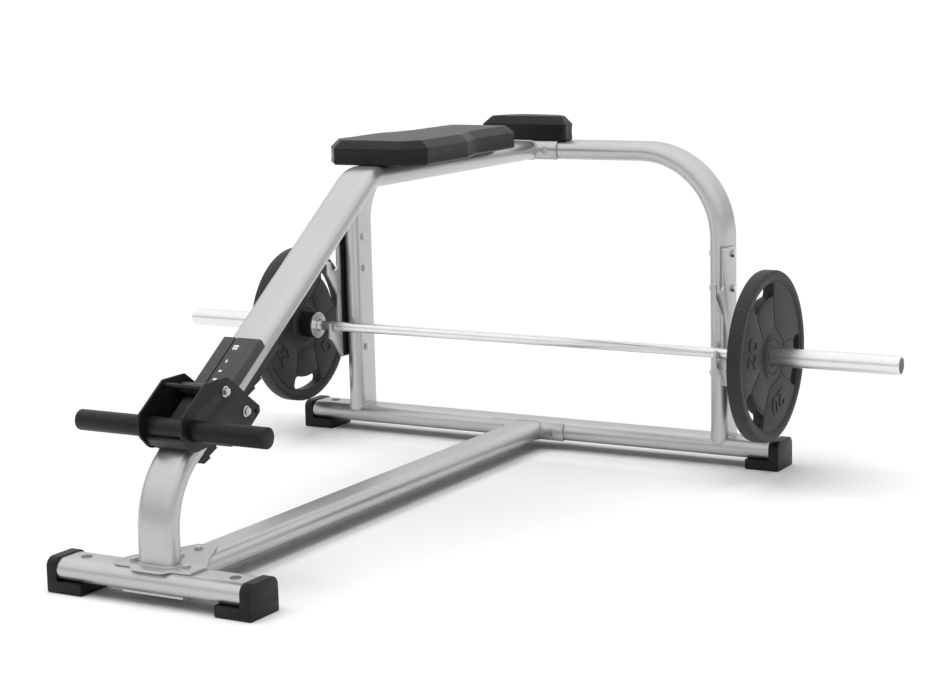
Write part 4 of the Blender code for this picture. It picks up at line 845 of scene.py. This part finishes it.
def cushion(node, corners, thickness, drop, recess, board):
    """A stuffed pad: hem, drawn-in sides, a sloping top edge, a low crown and a recess for its board."""
    low = PAD_SEAT
    top = low + thickness
    seam = top - drop
    shoulder = top - PAD_CROWN
    profile = [
        (recess, low + board), (recess, low), (PAD_HEM, low), (0, low + PAD_HEM),
        (PAD_DRAW, (low + seam) / 2), (0, seam), (PAD_BEVEL, shoulder),
        (PAD_BEVEL + 0.0025, shoulder + 0.0003),
    ]
    radii = [0, 0.001, 0.0018, 0.0018, 0.030, 0.0032, 0.0045, 0]
    rings = []
    for inset, height in rounded(profile, radii, math.radians(9)):
        share = min(1, max(0, (height - low) / (seam - low)))
        pull = 0.0012 * math.sin(math.pi * share) if inset < 0.01 else 0
        rings.append((pad_ring(corners, inset, pull), height))
    rim = rings[-1][0]
    middle = sum(rim, Vector((0, 0))) / len(rim)
    for index in range(1, 9):
        share = 1 - index / 9
        height = shoulder + 0.0003 + (PAD_CROWN - 0.0003) * (1 - share ** 2)
        rings.append(([middle + (point - middle) * share for point in rim], height))
    mesh = lofted(rings)
    for vertex in mesh.vertices:
        if vertex.co.z > low + PAD_HEM:
            vertex.co += vertex.normal * noise.noise(vertex.co * 22) * 0.0007
    made = stand_in(node, mesh, VINYL, sharp=70)


def pad_board(node, corners, inset, thickness):
    """The board in a pad's underside."""
    outline = rounded(offset(corners, -inset), [PAD_CORNER] * len(corners))
    place = Matrix.Translation((0, 0, PAD_SEAT + thickness / 2))
    stand_in(node, plate(outline, thickness), BLACK, place=place)


def pads():
    """The body pad and head pad with their boards."""
    front = CORNER_Y + BODY_PAD_START
    end = front + BODY_PAD_LENGTH
    half = [(0.096, front), (0.140, front + 0.055), (0.140, front + 0.255), (0.105, front + 0.355),
            (0.105, end - 0.018), (0.087, end)]
    corners = mirrored(half)
    cushion("body_pad", corners, BODY_PAD_THICKNESS, BODY_PAD_DROP, BODY_BOARD_INSET - GAP, BODY_BOARD + GAP)
    pad_board("body_pad_board", corners, BODY_BOARD_INSET, BODY_BOARD)
    front, end = REAR_Y - HEAD_PAD_FRONT, REAR_Y + HEAD_PAD_REAR
    corners = mirrored([(0.129, front), (0.127, end - 0.045), (0.082, end)])
    cushion("head_pad", corners, HEAD_PAD_THICKNESS, HEAD_PAD_DROP, HEAD_BOARD_INSET - GAP, HEAD_BOARD + GAP)
    pad_board("head_pad_board", corners, HEAD_BOARD_INSET, HEAD_BOARD)


# Slope and foot carriage

def index_cover():
    """The cover on the slope with its groove and white step marks."""
    skirt = HALF_TUBE - COVER_SKIRT
    shoulder = COVER_HALF - COVER_SHOULDER
    side_top = COVER_SURFACE - COVER_SHOULDER
    floor = COVER_SURFACE - GROOVE_DEPTH
    outer = [(COVER_HALF, skirt), (COVER_HALF, side_top), (shoulder, COVER_SURFACE),
             (GROOVE_RIGHT, COVER_SURFACE), (GROOVE_RIGHT, floor), (GROOVE_LEFT, floor),
             (GROOVE_LEFT, COVER_SURFACE), (-shoulder, COVER_SURFACE), (-COVER_HALF, side_top),
             (-COVER_HALF, skirt)]
    reach = math.asin(skirt / AROUND_TUBE)
    outline = [Vector(point) for point in outer]
    outline += arc((-TUBE_FLAT, 0), AROUND_TUBE, math.pi - reach, math.pi / 2)
    outline += arc((TUBE_FLAT, 0), AROUND_TUBE, math.pi / 2, reach)
    place = SLOPE_AXES @ Matrix.Translation((0, COVER_TOP - COVER_LENGTH / 2, 0)) @ ALONG_Y
    stand_in("index_cover", plate(outline, COVER_LENGTH, edge=0.0004), PLASTIC, place=place)
    for index, (station, width, length) in enumerate(STEP_MARKS):
        half_x, half_y = width / 2, length / 2
        corners = [(-half_x, -half_y), (half_x, -half_y), (half_x, half_y), (-half_x, half_y)]
        mark_place = SLOPE_AXES @ Matrix.Translation((0, station, COVER_SURFACE + 0.0001))
        piece(f"step_mark_{index}", plate(corners, MARK_THICKNESS, edge=0.0001), MARK, place=mark_place)
    glyph_place = SLOPE_AXES @ Matrix.Translation((0, GLYPH_STATION, COVER_SURFACE + MARK_THICKNESS))
    piece("step_glyph", plate(GLYPH, MARK_THICKNESS, edge=0.0001), PLASTIC, place=glyph_place)


def lock_rack():
    """The toothed bar under the slope."""
    root = RACK_SEAT - RACK_DEPTH
    outline = [(RACK_TOP, RACK_SEAT), (RACK_END + RACK_HEEL, RACK_SEAT), (RACK_END, RACK_SEAT - RACK_HEEL),
               (RACK_END, root)]
    for index in range(9):
        face = FIRST_TOOTH + index * TOOTH_PITCH
        outline += [(face, root - TOOTH_DEPTH), (face, root)]
    outline.append((RACK_TOP, root))
    eye = hole((RACK_END + 0.018, RACK_SEAT - 0.024), 0.004)
    stand_in("lock_rack", plate(outline, RACK_WIDTH, [eye], 0.0004), BLACK, place=SLOPE_AXES @ ALONG_X)


def across_slope(station, height, side=1):
    """The placement of a round piece that lies across the slope."""
    turn = UPRIGHT if side > 0 else HALF_TURN
    return SLOPE_AXES @ Matrix.Translation((0, station, height)) @ ALONG_X @ turn


def side_plates():
    """The two plates of the carriage."""
    holes = [
        hole((FOOT_STATION, FOOT_HEIGHT), FOOT_RADIUS + GAP, ROUND),
        hole((UPPER_STATION, UPPER_HEIGHT), AXLE_HOLE),
        hole((LOWER_STATION, LOWER_HEIGHT), AXLE_HOLE),
        hole(PAWL_PIVOT, PAWL_HOLE),
    ]
    for side, word in SIDES:
        place = SLOPE_AXES @ Matrix.Translation((side * (PLATE_IN + PLATE_OUT) / 2, 0, 0)) @ ALONG_X
        mesh = plate(rounded(SIDE_OUTLINE, SIDE_RADII), PLATE_OUT - PLATE_IN, holes)
        stand_in(f"carriage_plate_{word}", mesh, BLACK, "carriage", place)


def axle_end(start):
    """The washer, nut and thread end outside a side plate."""
    return [washer(start, start + 0.0016, 0.0125), hexagon(start + 0.0016, start + 0.0090),
            turned(thread(start, start + 0.0105), 24)]


def foot_bar():
    """The foot bar and its two rubber grips."""
    shoulder, end = PLATE_IN - GAP, FOOT_SPAN / 2 - GRIP_END - GAP
    half = [(0, end), (FOOT_RADIUS, end), (FOOT_RADIUS, shoulder), (GRIP_RADIUS, shoulder)]
    profile = half + [(radius, -height) for radius, height in reversed(half)]
    stand_in("foot_bar", turned(profile), BLACK, "carriage", across_slope(FOOT_STATION, FOOT_HEIGHT))
    outer, inner = FOOT_SPAN / 2, PLATE_OUT + GAP
    grip = [(0, outer), (GRIP_RADIUS - 0.0022, outer), (GRIP_RADIUS - 0.0006, outer - 0.0006),
            (GRIP_RADIUS, outer - 0.0022), (GRIP_RADIUS, inner), (FOOT_RADIUS + GAP, inner),
            (FOOT_RADIUS + GAP, outer - GRIP_END), (0, outer - GRIP_END)]
    for side, word in SIDES:
        place = across_slope(FOOT_STATION, FOOT_HEIGHT, side)
        stand_in(f"foot_grip_{word}", turned(grip), RUBBER, "carriage", place)


def rollers():
    """The two lower rollers and the upper roller with their axles."""
    stub = [(0, PLATE_OUT), (BOLT, PLATE_OUT), (BOLT, 0.0163), (AXLE_HEAD, 0.0163), (AXLE_HEAD, 0.0147),
            (0, 0.0147)]
    for side, word in SIDES:
        place = across_slope(LOWER_STATION, LOWER_HEIGHT, side)
        mesh = joined(turned(stub, 32), *axle_end(PLATE_OUT + GAP))
        stand_in(f"lower_axle_{word}", mesh, ZINC, "carriage", place)
        body = f"lower_roller_{word}_body"
        stand_in(f"lower_roller_{word}", roller(*LOWER_ROLLER), PLASTIC, body, place)
    upper = across_slope(UPPER_STATION, UPPER_HEIGHT)
    axle = turned([(0, PLATE_OUT), (BOLT, PLATE_OUT), (BOLT, -PLATE_OUT), (0, -PLATE_OUT)], 32)
    ends = axle_end(PLATE_OUT + GAP)
    ends += [moved(mesh.copy(), HALF_TURN) for mesh in ends]
    stand_in("upper_axle", joined(axle, *ends), ZINC, "carriage", upper)
    stand_in("upper_roller", roller(*UPPER_ROLLER), PLASTIC, "upper_roller_body", upper)


def carriage():
    """The side plates with the foot bar, rollers, cross rod and glide between them."""
    side_plates()
    foot_bar()
    rollers()
    shoulder = PLATE_IN - GAP
    rod = [(0, shoulder), (ROD_RADIUS, shoulder), (ROD_RADIUS, -shoulder), (0, -shoulder)]
    stand_in("cross_rod", turned(rod, 32), BLACK, "carriage", across_slope(ROD_STATION, ROD_HEIGHT))
    low = COVER_SURFACE + GAP
    room = GRIP_RADIUS + 2 * GAP
    reach = math.asin((FOOT_HEIGHT - low - GLIDE_RISE) / room)
    outline = [Vector((GLIDE_FRONT, low)), Vector((FOOT_STATION, low))]
    outline += arc((FOOT_STATION, FOOT_HEIGHT), room, 1.5 * math.pi, math.pi + reach)
    outline.append(Vector((GLIDE_FRONT, low + GLIDE_RISE)))
    mesh = plate(outline, 2 * shoulder, edge=0.0006)
    stand_in("lower_glide", mesh, PLASTIC, "carriage", SLOPE_AXES @ ALONG_X)


def roller(low, high):
    """A plastic roller with rounded rims and a hub face at each end."""
    bore = BOLT + 2 * GAP
    face = [(bore, high), (0.009, high), (0.0095, high - 0.001), (0.0115, high - 0.001), (0.012, high),
            (ROLLER - 0.001, high), (ROLLER, high - 0.001)]
    middle = low + high
    return turned(face + [(radius, middle - height) for radius, height in reversed(face)], ring=True)


# Barbell

def barbell():
    """Shaft, sleeves, shoulder rings and weight plates."""
    axis = Matrix.Translation((0, BAR_Y, BAR_HEIGHT)) @ ALONG_X
    end = SLEEVE_END - SHAFT_SHORT
    half = [(0, end), (BAR_RADIUS - 0.001, end), (BAR_RADIUS, end - 0.001)]
    shaft = turned(half + [(radius, -height) for radius, height in reversed(half)])
    stand_in("barbell_shaft", shaft, CHROME, "barbell", axis)
    flange_end = SLEEVE_START + FLANGE_THICKNESS
    sleeve = [
        (0, SLEEVE_END - 0.001), (0.0205, SLEEVE_END - 0.001), (0.0208, SLEEVE_END),
        (SLEEVE_RADIUS - 0.0015, SLEEVE_END), (SLEEVE_RADIUS, SLEEVE_END - 0.0015),
        (SLEEVE_RADIUS, flange_end + 0.001), (SLEEVE_RADIUS + 0.001, flange_end),
        (FLANGE - 0.001, flange_end),
        (FLANGE, flange_end - 0.001), (FLANGE, SLEEVE_START + 0.001), (FLANGE - 0.001, SLEEVE_START),
        (SLEEVE_BORE, SLEEVE_START), (SLEEVE_BORE, SLEEVE_END - SLEEVE_FLOOR), (0, SLEEVE_END - SLEEVE_FLOOR),
    ]
    plug = [(0, SLEEVE_END - 0.0002), (0.0195, SLEEVE_END - 0.0002), (0.0203, SLEEVE_END - 0.0009),
            (0.0203, SLEEVE_END - 0.002), (0, SLEEVE_END - 0.002)]
    collar_start = flange_end + GAP
    collar_bore = SLEEVE_RADIUS + 2 * GAP
    collar_face = COLLAR_RADIUS - 0.0012
    for side, word in SIDES:
        place = axis if side > 0 else axis @ HALF_TURN
        body = f"sleeve_{word}_body"
        stand_in(f"sleeve_{word}", turned(sleeve), CHROME, body, place)
        piece(f"sleeve_plug_{word}", turned(plug), DULL, body, place)
        collar_end = DISC_FACES[word] - GAP
        collar = [(collar_bore, collar_start), (collar_face, collar_start),
                  (COLLAR_RADIUS, collar_start + 0.0012), (COLLAR_RADIUS, collar_end - 0.0012),
                  (collar_face, collar_end), (collar_bore, collar_end)]
        stand_in(f"collar_ring_{word}", turned(collar, ring=True), RUBBER, body, place)
        weight_plate(word, side, axis)


def polar(radius, angle):
    """A point by its radius and angle."""
    return Vector((radius * math.cos(angle), radius * math.sin(angle)))


def window(turn):
    """A grip window's outline with its corners cut."""
    low, high = turn - WINDOW_HALF, turn + WINDOW_HALF
    outer, inner = WINDOW_CUT / WINDOW_OUT, WINDOW_CUT / WINDOW_IN
    outline = arc((0, 0), WINDOW_OUT, low + outer, high - outer, math.radians(2))
    outline += [polar(WINDOW_OUT - WINDOW_CUT, high), polar(WINDOW_IN + WINDOW_CUT, high)]
    outline += arc((0, 0), WINDOW_IN, high - inner, low + inner, math.radians(2))
    return outline + [polar(WINDOW_IN + WINDOW_CUT, low), polar(WINDOW_OUT - WINDOW_CUT, low)]


def panel(turn):
    """The outline of a raised panel between two windows, with straight seams down to the hub's hexagon."""
    half = math.pi / 3 - WINDOW_HALF
    outline = arc((0, 0), DISC_RIM - 0.002, turn - half, turn + half, math.radians(3))
    outline += [polar(WINDOW_IN - 0.004, turn + half), polar(HUB_CORNER, turn + math.pi / 6)]
    outline += [polar(HUB_CORNER, turn - math.pi / 6), polar(WINDOW_IN - 0.004, turn - half)]
    return outline


def inner_panel(turn):
    """The outline of the lower panel between a window and the hub's hexagon."""
    half = WINDOW_HALF
    outline = arc((0, 0), WINDOW_IN - 0.004, turn - half, turn + half, math.radians(3))
    return outline + [polar(HUB_CORNER, turn + math.pi / 6), polar(HUB_CORNER, turn - math.pi / 6)]


def digits(turn, height):
    """The plain number 20, its foot towards the hub."""
    text = bpy.data.curves.new("digits", "FONT")
    text.body = "20"
    text.size = DIGIT_SIZE
    text.align_x = "CENTER"
    text.align_y = "CENTER"
    text.extrude = 0.0012
    text.bevel_depth = 0.0004
    mesh = settled(bpy.data.objects.new("digits", text))
    place = Matrix.Rotation(turn, 4, "Z") @ Matrix.Translation((DIGIT_RADIUS, 0, height))
    wide = Matrix.Diagonal((DIGIT_WIDTH, 1, 1, 1))
    return moved(mesh, place @ Matrix.Rotation(-math.pi / 2, 4, "Z") @ wide)


def weight_plate(word, side, axis):
    """A weight plate with a raised rim, three grip windows, raised panels and its plain number."""
    turn = DISC_TURNS[word]
    half, web, edge = DISC_THICKNESS / 2, DISC_WEB / 2, 0.004
    bore = SLEEVE_RADIUS + 2 * GAP
    face = [
        (bore, half - 0.001), (bore + 0.001, half), (0.0440, half), (0.0450, half - 0.0016),
        (0.0468, half - 0.0016), (0.0478, half), (DISC_HUB - 0.005, half), (DISC_HUB, web + 0.002),
        (DISC_HUB + 0.002, web),
        (DISC_RIM - 0.002, web), (DISC_RIM, web + 0.002), (DISC_RIM + 0.004, half - 0.001),
        (DISC_RIM + 0.006, half), (PLATE_RADIUS - edge - 0.001, half), (PLATE_RADIUS - 0.0015, half - 0.0015),
        (PLATE_RADIUS, half - edge - 0.001),
    ]
    disc = turned(face + [(radius, -height) for radius, height in reversed(face)], 128, ring=True)
    extras = []
    for index in range(3):
        centre = turn + index * 2 * math.pi / 3
        disc = combined(disc, plate(window(centre), DISC_THICKNESS * 2, edge=0))
        between = centre + math.pi / 3
        for outline in (panel(between), inner_panel(centre)):
            extras.append(plate(offset(outline, -PANEL_SEAM), DISC_WEB + PANEL_RISE, edge=0.0012))
        if index:
            extras.append(digits(between, web + DIGIT_RISE))
            extras.append(moved(digits(-between, web + DIGIT_RISE), HALF_TURN))
    middle = side * (DISC_FACES[word] + DISC_THICKNESS / 2)
    place = axis @ Matrix.Translation((0, 0, middle))
    stand_in(f"weight_plate_{word}", joined(disc, *extras), DISC, f"plate_{word}_body", place, 28)


# Studio

def sky(tree, height, steps):
    """A background whose brightness follows the height of the direction."""
    ramp = tree.nodes.new("ShaderNodeValToRGB")
    stops = ramp.color_ramp.elements
    for index, (position, level) in enumerate(steps):
        stop = stops[index] if index < 2 else stops.new(position)
        stop.position = position
        stop.color = (level, level, level, 1)
    tree.links.new(height, ramp.inputs["Fac"])
    made = tree.nodes.new("ShaderNodeBackground")
    tree.links.new(ramp.outputs["Color"], made.inputs["Color"])
    return made.outputs["Background"]


def floor():
    """A wide plain pale floor."""
    shape = bmesh.new()
    bmesh.ops.create_grid(shape, x_segments=1, y_segments=1, size=FLOOR_SIZE)
    mesh = bpy.data.meshes.new("floor")
    shape.to_mesh(mesh)
    shape.free()
    ground = bpy.data.objects.new("floor", mesh)
    bpy.context.scene.collection.objects.link(ground)
    pale = bpy.data.materials.new("pale_floor")
    pale.use_nodes = True
    shader = pale.node_tree.nodes["Principled BSDF"]
    shader.inputs["Base Color"].default_value = FLOOR_COLOUR
    shader.inputs["Roughness"].default_value = 0.75
    shader.inputs["Specular IOR Level"].default_value = 0.15
    mesh.materials.append(pale)


def world():
    """A sky with one brightness for lighting matt surfaces and one for mirror images and the backdrop."""
    made = bpy.data.worlds.new("studio")
    made.use_nodes = True
    made.cycles.sampling_method = "NONE"
    bpy.context.scene.world = made
    tree = made.node_tree
    tree.nodes.clear()
    coords = tree.nodes.new("ShaderNodeTexCoord")
    split = tree.nodes.new("ShaderNodeSeparateXYZ")
    tree.links.new(coords.outputs["Generated"], split.inputs["Vector"])
    path = tree.nodes.new("ShaderNodeLightPath")
    mix = tree.nodes.new("ShaderNodeMixShader")
    tree.links.new(path.outputs["Is Diffuse Ray"], mix.inputs["Fac"])
    tree.links.new(sky(tree, split.outputs["Z"], MIRRORED_SKY), mix.inputs[1])
    tree.links.new(sky(tree, split.outputs["Z"], DIFFUSE_SKY), mix.inputs[2])
    output = tree.nodes.new("ShaderNodeOutputWorld")
    tree.links.new(mix.outputs["Shader"], output.inputs["Surface"])


def sun():
    """A very wide, soft light from above that shows in no mirror image."""
    light = bpy.data.lights.new("sun", "SUN")
    light.energy = SUN_ENERGY
    light.angle = SUN_ANGLE
    lamp = bpy.data.objects.new("sun", light)
    lamp.rotation_euler = SUN_TURN
    lamp.visible_glossy = False
    bpy.context.scene.collection.objects.link(lamp)
    bpy.context.scene.view_settings.view_transform = "Standard"


def camera():
    """The camera at the photograph's place, turn and lens."""
    across, down = math.cos(CAMERA_ELEVATION), -math.sin(CAMERA_ELEVATION)
    forward = Vector((-math.sin(CAMERA_AZIMUTH) * across, math.cos(CAMERA_AZIMUTH) * across, down))
    level = Vector((math.cos(CAMERA_AZIMUTH), math.sin(CAMERA_AZIMUTH), 0))
    up = level.cross(forward)
    right = level * math.cos(CAMERA_ROLL) + up * math.sin(CAMERA_ROLL)
    top = up * math.cos(CAMERA_ROLL) - level * math.sin(CAMERA_ROLL)
    data = bpy.data.cameras.new("camera")
    data.sensor_width = CAMERA_SENSOR
    data.lens = CAMERA_LENS
    made = bpy.data.objects.new("camera", data)
    turn = Matrix((right, top, -forward)).transposed().to_4x4()
    made.matrix_world = Matrix.Translation(CAMERA_PLACE) @ turn
    bpy.context.scene.collection.objects.link(made)
    bpy.context.scene.camera = made


def carried_over():
    """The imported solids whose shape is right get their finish."""
    looks = {"latch_pawl": BLACK, "sleeve_bushing_left": ZINC, "sleeve_bushing_right": ZINC}
    for node, look in looks.items():
        mesh = frame["nodes"][node].data
        mesh.materials.clear()
        mesh.materials.append(look)


camera()
floor()
world()
sun()
base()
arch()
spine()
hooks()
pads()
index_cover()
lock_rack()
carriage()
barbell()
carried_over()
